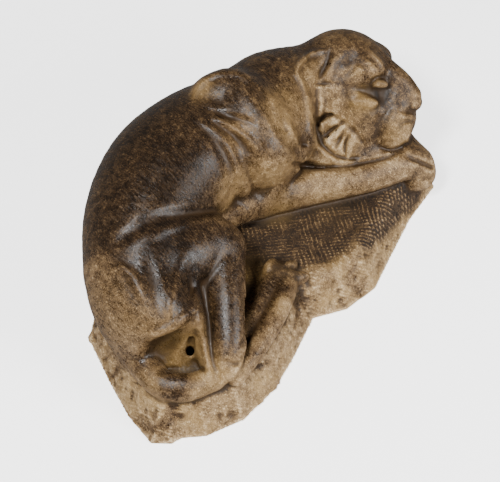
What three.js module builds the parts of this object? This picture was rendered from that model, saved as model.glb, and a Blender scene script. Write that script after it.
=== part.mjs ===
// A sleeping lioness carved with its rocky base from one block of dark brown stone.
// The block is drawn as a distance field: forms are joined with soft blends, carved lines are cut in,
// and the surface of the field is turned into one closed shell of flat facets.
import * as THREE from "three";

// Main sizes in millimetres
const LENGTH = 390; // the whole block from rump to brow
const BASE_HEIGHT = 38; // from the underside to the tooled top of the base
const BASE_FLARE = 19; // how far the foot of the base stands out beyond its top edge
const BASE_EDGE_ROUND = 10; // softness of the worn upper edge of the base
const BASE_FOOT_ROUND = 2.5; // softness of the lower edge of the base
const LINE_DEPTH = 5; // depth of the deepest carved lines
const HOLE_BORE = 9; // drilled hole between thigh, shank and tail

// Fineness of the shell
const GRID_STEP = LENGTH / 140;
const FACETS = 9200;
const HEAD_CARE = 4; // the face keeps smaller facets than the plain forms

// The figure is posed in shares: one share is the block's length divided by SPAN.
// A place is [along from rump to head, across towards the back, height above the base].
const SPAN = 97.5;
const SHARE = LENGTH / SPAN;
const place = ([x, y, h]) => [x * SHARE, y * SHARE, BASE_HEIGHT + h * SHARE];
const ball = ([x, y, h, r]) => [...place([x, y, h]), r * SHARE];

// Small vector helpers
const dot = (a, b) => a[0] * b[0] + a[1] * b[1] + a[2] * b[2];
const cross = (a, b) => [a[1] * b[2] - a[2] * b[1], a[2] * b[0] - a[0] * b[2], a[0] * b[1] - a[1] * b[0]];
const sub = (a, b) => [a[0] - b[0], a[1] - b[1], a[2] - b[2]];
const radians = (degrees) => (degrees * Math.PI) / 180;

// Soft joins: the wider the blend, the rounder the valley between two forms
function softMin(a, b, blend) {
  const h = Math.max(blend - Math.abs(a - b), 0) / blend;
  return Math.min(a, b) - (h * h * blend) / 4;
}
const softMax = (a, b, blend) => -softMin(-a, -b, blend);

// A smooth curve through a list of points, any number of values a point
function curve(points, steps) {
  if (points.length < 3) return points;
  const pick = (i) => points[Math.max(0, Math.min(points.length - 1, i))];
  const out = [];
  for (let i = 0; i < points.length - 1; i++) {
    for (let j = 0; j < steps; j++) {
      const t = j / steps;
      const [a, b, c, d] = [pick(i - 1), pick(i), pick(i + 1), pick(i + 2)];
      out.push(b.map((_, q) => {
        const bend = 2 * a[q] - 5 * b[q] + 4 * c[q] - d[q];
        const rest = 3 * b[q] - a[q] - 3 * c[q] + d[q];
        return (2 * b[q] + (c[q] - a[q]) * t + bend * t * t + rest * t * t * t) / 2;
      }));
    }
  }
  out.push(points[points.length - 1]);
  return out;
}

// The ball that holds a list of balls, used to skip forms that are far away
function reachOf(balls) {
  const centre = [0, 1, 2].map((i) => balls.reduce((sum, b) => sum + b[i], 0) / balls.length);
  const radius = Math.max(...balls.map((b) => Math.hypot(...sub(b, centre)) + b[3]));
  return { centre, radius };
}

// A limb: balls of changing radius swept along a smooth curve
function limb(points, blend, { steps = 6, cut = false } = {}) {
  const chain = curve(points.map(ball), steps);
  const links = chain.slice(1).map((end, i) => {
    const start = chain[i];
    const run = sub(end, start);
    return { start, run, long: dot(run, run), r: start[3], grow: end[3] - start[3] };
  });
  const distance = (p) => {
    let best = Infinity;
    for (const { start, run, long, r, grow } of links) {
      const from = sub(p, start);
      const t = Math.max(0, Math.min(1, dot(from, run) / long));
      const gap = Math.hypot(from[0] - run[0] * t, from[1] - run[1] * t, from[2] - run[2] * t);
      best = Math.min(best, gap - r - grow * t);
    }
    return best;
  };
  return { ...reachOf(chain), distance, blend: blend * SHARE, cut };
}

// A frame to place lumps in: an origin and three directions, turned about the vertical, then rolled
function frame(origin, turn, roll) {
  const ahead = [Math.cos(turn), Math.sin(turn), 0];
  const level = [-Math.sin(turn), Math.cos(turn), 0];
  const side = [level[0] * Math.cos(roll), level[1] * Math.cos(roll), Math.sin(roll)];
  return { origin: place(origin), ahead, side, top: cross(ahead, side) };
}
const inFrame = ({ origin, ahead, side, top }, [a, s, t]) => (
  origin.map((o, i) => o + (ahead[i] * a + side[i] * s + top[i] * t) * SHARE)
);
const BLOCK = frame([0, 0, 0], 0, 0);

// A lump: an ellipsoid in a frame, tipped up or turned by angles in degrees
function lump(base, at, radii, blend, { cut = false, tip = 0, turn = 0 } = {}) {
  const spin = (a, b, angle) => [
    a.map((v, i) => v * Math.cos(angle) + b[i] * Math.sin(angle)),
    b.map((v, i) => v * Math.cos(angle) - a[i] * Math.sin(angle)),
  ];
  let { ahead, side, top } = base;
  [ahead, top] = spin(ahead, top, radians(tip));
  [ahead, side] = spin(ahead, side, radians(turn));
  const centre = inFrame(base, at);
  const [ra, rs, rt] = radii.map((r) => r * SHARE);
  const distance = (p) => {
    const from = sub(p, centre);
    const [a, s, t] = [dot(from, ahead), dot(from, side), dot(from, top)];
    const near = Math.hypot(a / ra, s / rs, t / rt);
    const steep = Math.hypot(a / (ra * ra), s / (rs * rs), t / (rt * rt));
    return steep < 1e-9 ? -Math.min(ra, rs, rt) : (near * (near - 1)) / steep;
  };
  return { centre, radius: Math.max(ra, rs, rt), distance, blend: blend * SHARE, cut };
}

// A carved line: points with a half width and a depth as a share of LINE_DEPTH (negative stands proud).
// The line is cut straight down the carver's direction and fades out beyond its reach.
const CARVER = [-0.435, -0.435, 0.788];
function line(points, reach = 5) {
  const rows = points.map(([x, y, h, half, deep]) => [...place([x, y, h]), half * SHARE, deep * LINE_DEPTH]);
  const path = curve(rows, 5);
  const flat = (v) => {
    const along = dot(v, CARVER);
    return { along, v: [v[0] - CARVER[0] * along, v[1] - CARVER[1] * along, v[2] - CARVER[2] * along] };
  };
  const links = path.slice(1).map((end, i) => {
    const run = flat(sub(end, path[i]));
    return { start: path[i], end, run: run.v, rise: run.along, long: dot(run.v, run.v) + 1e-9 };
  });
  const deep = (p) => {
    let best = 1;
    let out = 0;
    for (const { start, end, run, rise, long } of links) {
      const from = flat(sub(p, start));
      const t = Math.max(0, Math.min(1, dot(from.v, run) / long));
      const fade = Math.abs(from.along - rise * t) / (reach * SHARE);
      if (fade > 1) continue;
      const gap = Math.hypot(from.v[0] - run[0] * t, from.v[1] - run[1] * t, from.v[2] - run[2] * t);
      const share = gap / (start[3] + (end[3] - start[3]) * t);
      if (share >= best) continue;
      best = share;
      out = (start[4] + (end[4] - start[4]) * t) * (1 - fade ** 4);
    }
    return out * (1 - best * best) ** 2;
  };
  const held = reachOf(path);
  return { centre: held.centre, radius: held.radius + reach * SHARE, deep };
}

// Foot of the base seen from above, in shares: the rough block left around the figure
const OUTLINE = [
  [-43.8, -14.5], [-40.7, -17.9], [-38.3, -18.3], [-34.3, -21.6], [-25.8, -24.3], [-15.3, -23.4],
    [-6.6, -20.6],
  [3.2, -16.6], [10.1, -20.1], [18.9, -20.7], [28, -17.2], [39.3, -13], [50.4, -10.6], [53.6, -4.7], [54, 3],
  [51, 14], [42, 23], [28, 29], [10, 32], [-8, 33], [-20, 29], [-28.2, 20.1], [-35.5, 14.2], [-39.7, 3.1],
  [-42.7, -6.2],
].map(([x, y]) => [x * SHARE, y * SHARE]);

function outlineDistance(x, y) {
  let nearest = Infinity;
  let inside = false;
  OUTLINE.forEach(([ax, ay], i) => {
    const [bx, by] = OUTLINE[(i + 1) % OUTLINE.length];
    const [ex, ey, wx, wy] = [bx - ax, by - ay, x - ax, y - ay];
    const t = Math.max(0, Math.min(1, (wx * ex + wy * ey) / (ex * ex + ey * ey)));
    nearest = Math.min(nearest, Math.hypot(wx - ex * t, wy - ey * t));
    if (ay > y !== by > y && x < ax + (ex * (y - ay)) / ey) inside = !inside;
  });
  return inside ? -nearest : nearest;
}
function baseDistance([x, y, z]) {
  const lean = BASE_FLARE / BASE_HEIGHT;
  const side = (outlineDistance(x, y) + z * lean) / Math.hypot(1, lean);
  return softMax(softMax(side, z - BASE_HEIGHT, BASE_EDGE_ROUND), -z, BASE_FOOT_ROUND);
}

// Body: back, loins and neck in one long curve, and the belly down to the elbow
const body = [
  limb([[19.5, 15.5, 14.5, 12], [9.5, 19.5, 15.5, 13.6], [-4, 20, 15.5, 14], [-15.5, 15.5, 14, 13.2],
    [-24, 8, 11.5, 12.2]], 3),
  limb([[16.5, 18, 18, 11], [25.5, 19, 17.8, 10.4], [36, 17, 15.5, 9]], 3),
  limb([[-2, 10, 8, 4.6], [4, 10, 6.5, 4.8], [10, 9, 4.5, 4.6]], 1.5),
];

// Hind quarter: rump, thigh, the hollow under the ham, shank, foot, toes and the tail drawn round
const hind = [
  lump(BLOCK, [-29.5, -0.5, 7.5], [9, 12.5, 12.5], 4, { turn: 17 }),
  limb([[-28, 6, 11.5, 8.6], [-18.5, 5, 12.5, 9.6], [-12, 3, 12.5, 7.8], [-9, 0, 12.5, 5.4]], 1.2),
  limb([[-32.5, 3, 7.5, 4.5], [-29, -2.5, 8, 3.4], [-22, -4, 9.5, 3]], 2),
  lump(BLOCK, [-30.6, -10.8, 7.3], [6.6, 3.6, 5.4], 4.5, { cut: true, turn: -40 }),
  limb([[-9, -1, 12.5, 4.6], [-16, -9, 9.5, 4.2], [-21, -15, 6, 3.7], [-24.5, -17.5, 3, 3.1]], 1.2),
  limb([[-14.5, -1.5, 9.5, 4], [-20, -7, 6.5, 3.6], [-24, -12.5, 3.5, 3.2], [-27, -17, 2, 2.4]], 2),
  limb([[-24, -20, 0.5, 1.8], [-13, -17, 0.6, 2.2], [-4, -13.5, 0.8, 2.3], [1.5, -10, 0.8, 2.4]], 1),
  limb([[-14, -13, -0.8, 2.4], [-5, -9.5, -0.6, 3], [1, -7.2, -0.2, 3.2]], 1.5),
  lump(BLOCK, [0.6, -5.6, 1.4], [2.6, 1.5, 1.9], 0.4, { turn: 20 }),
  lump(BLOCK, [3.2, -8.2, 1.2], [2.8, 1.5, 1.8], 0.4, { turn: -5 }),
  lump(BLOCK, [3.4, -11.2, 0.6], [2.6, 1.5, 1.7], 0.4, { turn: -30 }),
  limb([[-30, 13.5, 4.5, 3], [-34.5, 2, 2.5, 3], [-36.5, -9, 2, 3.2], [-34, -14.5, 2, 3.2],
    [-28, -17, 1.5, 2.6]], 1.2),
];

// Fore quarter: shoulder blade, upper arm, and the two forearms under the head
const fore = [
  limb([[11.5, 22.5, 26.5, 4.4], [15, 19.5, 26.5, 5.4], [14.5, 13.5, 24, 6.8], [13.5, 10, 19.5, 7.2]], 2),
  limb([[13.5, 10, 20, 7], [15, 11, 10.5, 6.4], [13.5, 9, 6, 5]], 2),
  limb([[12.5, 9, 3.5, 4.8], [22.5, 3.5, 3, 4.4], [34, -3, 3, 4.2], [41.5, -6, 3, 4.2], [45, -7.5, 1.5, 4.3],
    [45.5, -8.5, -1.5, 4.3]], 1),
  limb([[26, 13, 4, 4.6], [31, 5.5, 4.5, 4.4], [39, -1, 4.5, 4.3], [45, -4.5, 2.5, 4.2]], 1),
  limb([[22, 14, 6, 7], [31, 10, 5.5, 7], [40, 4, 5, 6], [46, 1, 3, 5]], 2),
];

// Head, turned back over the forearms and rolled onto its right cheek: skull, far ear, jaw, muzzle and nose,
// then brows, cheeks, lips and shut eyes on both sides
const HEAD = frame([41.5, 10, 15], radians(-63), radians(-28));
const along = (points) => points.map(([a, s, t, r]) => {
  const [x, y, z] = inFrame(HEAD, [a, s, t]);
  return [x / SHARE, y / SHARE, (z - BASE_HEIGHT) / SHARE, r];
});
const head = [
  lump(HEAD, [-2, 0, 4.2], [10.5, 8.8, 9.2], 2.5),
  lump(HEAD, [-2.6, 6.6, 8], [4, 2.2, 3.6], 0.8, { tip: 20 }),
  lump(HEAD, [3, 0, -6.5], [9, 7.4, 7], 2),
  lump(HEAD, [9.5, 0, -2], [6.4, 4.8, 7], 1.6),
  limb(along([[5, 0, 7, 3.2], [10.5, 0, 4.8, 2.6], [14, 0, 2.2, 2.2]]), 1.4),
  lump(HEAD, [14.8, 0, 0.6], [1.9, 2.6, 1.9], 0.5),
  lump(HEAD, [11.6, 0, -8], [3.8, 3.6, 2.8], 1),
];
for (const q of [-1, 1]) {
  head.push(
    lump(HEAD, [3.8, q * 4.2, 8], [3.6, 2.6, 2.6], 1.8),
    lump(HEAD, [1, q * 4.6, -1.5], [8, 4, 8.5], 1.6),
    lump(HEAD, [-2.4, q * 8.6, 0.6], [3, 1.2, 4.4], 0.6, { tip: 8 }),
    lump(HEAD, [11.6, q * 2.7, -5], [4.2, 3.3, 5], 1.6),
    lump(HEAD, [8, q * 7.6, 2.2], [3.4, 1.4, 1.6], 4, { cut: true }),
    lump(HEAD, [7.4, q * 4.9, 4.7], [1.7, 1.3, 1], 1),
    lump(HEAD, [4.8, q * 7.1, 0.8], [3, 1.3, 1.2], 1.8),
  );
}

// A drop-shaped slot in the hollow of the ham, drilled deeper in its middle
const mouth = HOLE_BORE / SHARE / 3;
const end = HOLE_BORE / SHARE / 1.6;
const hole = [
  limb([[-29.1, -10.9, 1.9, 0.7 * mouth], [-27.6, -10, 4.2, 1.5 * mouth], [-26.4, -9.4, 6.4, mouth]], 0.4,
    { cut: true }),
  limb([[-27.8, -10.4, 5.2, mouth], [-25, -7, -4.5, end]], 0.4, { cut: true }),
];
const forms = [...body, ...hind, ...fore, ...head, ...hole];

// Carved lines that still read from a step away
const lines = [
  // crease between belly and thigh
  line([[-6.7, 5.7, 16.6, 2, 0.3], [-14.1, 6.2, 22.3, 2.2, 0.5], [-19.9, 8.4, 23.8, 2.2, 0.5],
    [-25.2, 9.2, 23.6, 2, 0.3], [-30, 9.5, 22, 1.6, 0]]),
  // top of the thigh, and the fold of the ham with the crease under it
  line([[-28.8, 7.7, 22.7, 1.5, 0], [-23, 5.7, 23.8, 1.8, -0.2], [-14.4, 4.4, 21.9, 1.8, -0.25],
    [-8.5, 1.7, 19.4, 1.6, -0.2], [-7.2, -1.9, 17.4, 1.4, 0]]),
  line([[-36.3, -5, 13.2, 1.2, -0.1], [-33.6, -8.1, 14.3, 1.4, -0.3], [-29.9, -9.5, 15.7, 1.4, -0.35],
    [-25.3, -9, 15.5, 1.1, -0.1]]),
  line([[-35.7, -7.2, 11.2, 1, 0.1], [-32.6, -8.3, 10.6, 1.2, 0.3], [-29.7, -10.7, 14, 1.2, 0.35],
    [-25.5, -10.1, 14.4, 0.9, 0.2]]),
  // lower edge and rim of the shoulder blade
  line([[6.1, 22.3, 29.3, 1.2, 0.1], [5.5, 18.3, 29.4, 1.4, 0.4], [7.4, 15.7, 28.7, 1.4, 0.45],
    [9.1, 13, 28.5, 1.4, 0.4], [10.5, 9.9, 28.3, 1.2, 0.2]]),
  line([[4.4, 22.3, 29.4, 1.2, -0.1], [8.5, 24.8, 29.2, 1.5, -0.4], [11.5, 24.6, 30.4, 1.5, -0.4],
    [14.8, 23.2, 31.3, 1.4, -0.2]]),
  line([[12.4, 23.9, 30.8, 1.5, -0.2], [15.4, 21.4, 31.7, 1.6, -0.4], [16.8, 18, 31.6, 1.6, -0.4],
    [16.1, 14, 30.4, 1.4, -0.2]]),
  // crest of the hip
  line([[-33.6, 7.6, 19.5, 1.2, -0.1], [-31.7, 5.6, 21.3, 1.5, -0.45], [-31.1, 2.7, 21.2, 1.6, -0.5],
    [-31.8, -0.6, 19.9, 1.6, -0.45], [-32.8, -3.7, 18.4, 1.3, -0.1]]),
  // muscle of the thigh and the hollows on both sides of it
  line([[-18.7, -0.6, 20.3, 1.4, -0.1], [-22.4, -2.4, 18.7, 1.8, -0.35],
    [-27.4, -5.8, 18.6, 1.8, -0.35], [-30.9, -8, 16.7, 1.4, -0.1]]),
  line([[-26.3, 2.7, 22.3, 1.8, 0.1], [-28.7, -0.9, 20.6, 2.2, 0.4], [-31.1, -5, 18.7, 2.2, 0.4],
    [-32.3, -8, 15.9, 1.6, 0.1]]),
  line([[-18.8, -3.2, 17.5, 1.3, 0.1], [-22.1, -5.1, 15.6, 1.5, 0.3], [-27.1, -8.9, 16.6, 1.3, 0.15]]),
  // calf beside the shank
  line([[-19.4, -3.5, 16.9, 1, -0.1], [-22.1, -7.1, 13.3, 1.5, -0.4], [-25.3, -11.5, 10.4, 1.6, -0.5],
    [-26.9, -14.1, 5.3, 1.2, -0.6], [-29.8, -18.5, 3.5, 1.1, -0.3]]),
  // ridge along the last rib, the hollow under it, and the valley of the belly
  line([[1.9, 19.7, 29.6, 1.3, 0], [3.4, 15.3, 28.4, 1.4, -0.25], [4.2, 11.4, 25.5, 1.4, -0.35],
    [4.4, 8.6, 21.5, 1.3, -0.3], [4.3, 7.3, 16.4, 1.2, 0]]),
  line([[1.5, 17.5, 29.1, 1.6, 0.1], [2.7, 14, 27.1, 1.8, 0.3], [2.4, 10.2, 24.1, 1.8, 0.35],
    [1.3, 7, 19.9, 1.8, 0.35], [2.8, 7.7, 9.7, 1.5, 0.3]]),
  line([[4.4, 7.4, 16.9, 1.5, 0.2], [3.3, 6.9, 11.6, 1.5, 0.35], [5, 6.6, 8, 1.3, 0.2]]),
  // tool marks down the elbow, and the top edge of the forearm
  line([[6, 6.9, 20.7, 1.2, 0.1], [5.9, 6.2, 16.7, 1.3, 0.25], [7.6, 5.6, 11, 1.2, 0.1]]),
  line([[9.8, 6.1, 7.7, 1.3, 0], [16.6, 4.2, 7.3, 1.6, -0.2], [23.8, 1.9, 7.3, 1.6, -0.2],
    [31.1, -0.5, 6.3, 1.3, -0.1]]),
  // back edge of the upper arm
  line([[5.3, 18.1, 29.4, 1.2, 0], [6.2, 15.1, 28.5, 1.3, -0.35], [7.5, 12, 27.1, 1.3, -0.4],
    [8.3, 8.6, 25.7, 1.3, -0.4], [8.5, 5.2, 22.9, 1.2, 0]]),
  line([[3.9, 17, 29.2, 1.4, 0.1], [5.1, 14, 28.1, 1.4, 0.35], [6.6, 10.8, 26, 1.4, 0.35],
    [7.1, 7.7, 23.6, 1.3, 0.2]]),
  // between the upper arm and the neck
  line([[16.1, 16.1, 31.3, 1.4, 0.2], [16, 12.4, 29.6, 1.9, 0.55], [15.5, 8, 26.8, 2, 0.55],
    [15.9, 5.1, 23.1, 2, 0.6], [17.6, 4.5, 18.4, 1.7, 0.5]]),
  // skin fold behind the cheek and under it, the dip behind it and the groove that frees the head
  line([[28.4, 14.7, 27.3, 1, 0], [27.9, 12, 25.6, 1.1, -0.25], [27.4, 9.9, 24.1, 1.1, -0.3],
    [24.5, 5.9, 21.1, 1.1, -0.3], [23.9, 4.3, 17.3, 1.1, -0.3], [28.3, 3.8, 8.5, 1.1, -0.25],
    [31.7, -0.5, 7.2, 1, -0.1]]),
  line([[25.4, 9.2, 23, 2, 0.1], [21.8, 6.3, 21.6, 2.2, 0.3], [21.4, 5.1, 16.8, 1.4, 0.9]]),
  line([[30.9, 10.6, 23.7, 1, 0.2], [29.4, 8.7, 20.3, 1.1, 0.6], [28.1, 7, 15.1, 1.1, 0.7],
    [28.8, 4.6, 9.5, 1.1, 0.7], [30.4, 1.7, 7.8, 1, 0.6], [32.9, -0.8, 7.5, 0.9, 0.3]]),
  // between the two forearms
  line([[18.1, 5.2, 13.1, 1.2, 0.5], [23, 5.8, 7.8, 1.3, 0.9], [26.9, 4.1, 5, 1.3, 0.9],
    [29.3, 0.3, 6.2, 1.2, 0.8], [33.3, -2.1, 6.2, 1.1, 0.7], [37.7, -4.7, 6.3, 1, 0.5],
    [42.3, -6, 6.5, 0.9, 0.3]]),
  // ear: its rim, its leaf, the groove before it and the fold before that
  line([[38.3, 14.7, 26.6, 1.1, -0.2], [36.1, 16.9, 25.6, 1.3, -0.45], [31.9, 16.2, 26.4, 1.3, -0.5],
    [28.8, 14.4, 26.6, 1.2, -0.45], [28.3, 12.1, 25.5, 1, -0.1]]),
  line([[36.5, 14.2, 25.8, 2.4, -0.2], [33.6, 14.5, 25.1, 2.8, -0.3], [30.9, 13, 25.1, 2, -0.2]]),
  line([[38.5, 14, 26.6, 0.9, 0.2], [36.8, 13, 25.2, 1, 0.55], [34.8, 12.5, 23.9, 1, 0.5],
    [32.7, 11.7, 23.5, 0.8, 0.2]]),
  line([[39.3, 11.2, 27.1, 1, -0.1], [36.9, 11.2, 26.1, 1.2, -0.4], [35.1, 10.7, 24.6, 1.2, -0.4],
    [33.9, 10.4, 22.9, 0.8, 0]]),
  // hollow of the forehead, furrow and bone of the brow
  line([[38.1, 9.6, 25.4, 2.2, 0.2], [40.3, 9.4, 25.9, 2.6, 0.5], [42.2, 8.4, 26.2, 2.2, 0.2]]),
  line([[43.8, 9.1, 26.4, 1, 0.1], [43.4, 5.7, 26.6, 1.2, 0.45], [44, 3.5, 24.7, 1, 0.2]]),
  line([[36.7, 8.3, 24, 0.9, 0.1], [38.4, 7.5, 24.9, 1, 0.4], [40.1, 7.1, 25.8, 0.9, 0.1]]),
  line([[38.5, 7, 24.6, 1.2, -0.2], [39.8, 6.5, 25.2, 1.4, -0.45], [41.2, 4.7, 24.9, 1.4, -0.3],
    [43, 3.5, 24.7, 1.2, -0.1]]),
  // shut eye under its lid, and the cheekbone
  line([[36.3, 6.9, 21.9, 0.8, 0.1], [38.4, 5.3, 21.6, 1.4, 0.2], [40.9, 3.9, 19.6, 2.4, 0.25],
    [42.2, 2.2, 18.9, 2.8, 0.3], [43.9, 0.8, 18.8, 2.4, 0.25], [45.2, 0.2, 19.3, 1.6, 0.1]]),
  line([[41.2, 3, 21.7, 0.8, -0.2], [41.9, 2, 22.9, 1, -0.45], [43.1, 1, 22.7, 0.8, -0.2]]),
  line([[35.4, 5.2, 19, 1.4, 0], [36.7, 3.2, 19.5, 1.6, -0.3], [38.3, 1.7, 20.1, 1.5, -0.45],
    [39.7, 0.6, 19.6, 1.2, -0.3]]),
  // ridge and crease behind the muzzle
  line([[45.5, -0.1, 19.5, 1.2, -0.1], [43.5, -0.5, 18.1, 1.5, -0.2], [40.9, -0.6, 16.3, 1.3, -0.15]]),
  line([[43.8, -0.2, 18.6, 1.6, 0.1], [42.4, -0.7, 16.9, 2, 0.2], [40.6, -0.8, 14.4, 2.1, 0.25],
    [39.2, -0.8, 11.6, 2, 0.25], [38, -1.5, 9.4, 1.7, 0.15]]),
  // four locks of hair under the cheek, cut free above
  line([[33.6, 5.2, 15.6, 1.4, -0.2], [32.2, 6.9, 14, 1.7, -0.6], [29.9, 8, 12.9, 1.2, -0.4]]),
  line([[34.1, 3.4, 14.5, 1.4, -0.2], [32.4, 4.8, 12.2, 1.8, -0.6], [29.6, 5.4, 10.6, 1.3, -0.5]]),
  line([[34.9, 1.4, 12.9, 1.4, -0.2], [33.6, 1.5, 10.1, 2, -0.6], [31.6, 1, 8.1, 1.4, -0.5]]),
  line([[32.5, 3.6, 11, 1.2, -0.2], [30.6, 3.2, 9.2, 1.4, -0.5]]),
  line([[29.7, 7.9, 16.2, 0.8, 0.5], [31.6, 8.2, 15.4, 0.9, 0.7], [32.3, 7, 16.5, 0.7, 0.3]]),
  line([[32.3, 7, 16.5, 0.8, 0.3], [33.5, 4.8, 14.9, 0.9, 0.4], [34.3, 2.4, 13.5, 0.9, 0.4],
    [35.3, 0.1, 10.6, 0.8, 0.3]]),
  // toes of the paw
  line([[46.5, -11.5, 2, 0.9, 0.6], [43.5, -9.5, 5, 0.9, 0.6], [41.5, -8, 7, 0.8, 0.3]]),
  // between calf and shank
  line([[-18.5, -4.5, 14, 1.4, 0.1], [-23, -10.5, 10.5, 1.6, 0.35], [-26, -15, 6, 1.5, 0.4],
    [-28, -19, 3.5, 1.2, 0.2]]),
];

// Distance from a point to the stone: negative inside
function stone(x, y, z) {
  const p = [x, y, z];
  let d = baseDistance(p);
  for (const form of forms) {
    const least = Math.hypot(x - form.centre[0], y - form.centre[1], z - form.centre[2]) - form.radius;
    if (form.cut) {
      if (least < form.blend - d) d = softMax(d, -form.distance(p), form.blend);
    } else if (least < d + form.blend) {
      d = softMin(d, form.distance(p), form.blend);
    }
  }
  if (Math.abs(d) > 3 * SHARE) return d;
  for (const cut of lines) {
    if (Math.hypot(x - cut.centre[0], y - cut.centre[1], z - cut.centre[2]) < cut.radius) d += cut.deep(p);
  }
  return Math.max(d, -z);
}

// A cell is plain when its inside corners hang together and its outside corners do too.
// Any other cell would pinch the shell, so its shallowest outside corner is filled with stone.
function fillPinches(value, [nx, ny, nz], corners) {
  const joined = (mask) => {
    const first = corners.findIndex((_, c) => (mask >> c) & 1);
    let seen = first < 0 ? 0 : 1 << first;
    for (let pass = 0; pass < 4; pass++) {
      for (let c = 0; c < 8; c++) {
        if (!((seen >> c) & 1)) continue;
        for (const bit of [1, 2, 4]) if ((mask >> (c ^ bit)) & 1) seen |= 1 << (c ^ bit);
      }
    }
    return seen === mask;
  };
  const plain = Array.from({ length: 256 }, (_, mask) => joined(mask) && joined(255 - mask));
  const offsets = corners.map(([a, b, c]) => a + nx * (b + ny * c));
  for (let changed = true; changed;) {
    changed = false;
    for (let k = 0; k < nz - 1; k++) {
      for (let j = 0; j < ny - 1; j++) {
        for (let i = 0; i < nx - 1; i++) {
          const home = i + nx * (j + ny * k);
          const mask = offsets.reduce((m, o, c) => (value[home + o] < 0 ? m | (1 << c) : m), 0);
          if (plain[mask]) continue;
          const outside = offsets.map((o) => home + o).filter((n) => value[n] >= 0);
          const least = outside.reduce((a, b) => (value[b] < value[a] ? b : a));
          value[least] = -1e-3 * GRID_STEP;
          changed = true;
        }
      }
    }
  }
}

// The shell of the field on a grid: one vertex in every cell that the surface passes through
function shell(field, low, high, step) {
  const BRICK = 6;
  const count = low.map((v, i) => Math.ceil((high[i] - v) / step / BRICK) * BRICK + 1);
  const [nx, ny, nz] = count;
  const at = (i, j, k) => i + nx * (j + ny * k);
  const spot = (i, j, k) => [low[0] + i * step, low[1] + j * step, low[2] + k * step];
  const value = new Float64Array(nx * ny * nz).fill(NaN);
  const far = ((step * BRICK * Math.sqrt(3)) / 2) * 1.3 + step;
  for (let k = 0; k < nz - 1; k += BRICK) {
    for (let j = 0; j < ny - 1; j += BRICK) {
      for (let i = 0; i < nx - 1; i += BRICK) {
        const middle = field(...spot(i + BRICK / 2, j + BRICK / 2, k + BRICK / 2));
        const skip = Math.abs(middle) > far;
        const end = skip ? BRICK - 1 : BRICK;
        for (let c = k; c <= k + end; c++) {
          for (let b = j; b <= j + end; b++) {
            for (let a = i; a <= i + end; a++) {
              if (!Number.isNaN(value[at(a, b, c)])) continue;
              value[at(a, b, c)] = skip ? middle : field(...spot(a, b, c));
            }
          }
        }
      }
    }
  }
  const below = (i, j, k) => value[at(i, j, k)] < 0;
  const corners = [0, 1, 2, 3, 4, 5, 6, 7].map((c) => [c & 1, (c >> 1) & 1, (c >> 2) & 1]);
  fillPinches(value, count, corners);
  const cell = new Int32Array(nx * ny * nz).fill(-1);
  const points = [];
  for (let k = 0; k < nz - 1; k++) {
    for (let j = 0; j < ny - 1; j++) {
      for (let i = 0; i < nx - 1; i++) {
        const v = corners.map(([a, b, c]) => value[at(i + a, j + b, k + c)]);
        const sum = [0, 0, 0];
        let crossings = 0;
        for (let c = 0; c < 8; c++) {
          for (const bit of [1, 2, 4]) {
            const e = c | bit;
            if (c & bit || v[c] < 0 === v[e] < 0) continue;
            const t = v[c] / (v[c] - v[e]);
            for (let q = 0; q < 3; q++) sum[q] += corners[c][q] + t * (corners[e][q] - corners[c][q]);
            crossings++;
          }
        }
        if (!crossings) continue;
        cell[at(i, j, k)] = points.length;
        points.push(spot(i + sum[0] / crossings, j + sum[1] / crossings, k + sum[2] / crossings));
      }
    }
  }
  const faces = [];
  const quad = (a, b, c, d, flip) => faces.push(...(flip ? [[a, c, b], [a, d, c]] : [[a, b, c], [a, c, d]]));
  for (let k = 1; k < nz - 1; k++) {
    for (let j = 1; j < ny - 1; j++) {
      for (let i = 1; i < nx - 1; i++) {
        const s = below(i, j, k);
        const c = (a, b, e) => cell[at(i - a, j - b, k - e)];
        if (s !== below(i + 1, j, k)) quad(c(0, 1, 1), c(0, 0, 1), c(0, 0, 0), c(0, 1, 0), !s);
        if (s !== below(i, j + 1, k)) quad(c(1, 0, 1), c(1, 0, 0), c(0, 0, 0), c(0, 0, 1), !s);
        if (s !== below(i, j, k + 1)) quad(c(1, 1, 0), c(0, 1, 0), c(0, 0, 0), c(1, 0, 0), !s);
      }
    }
  }
  return { points, faces };
}

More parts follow.
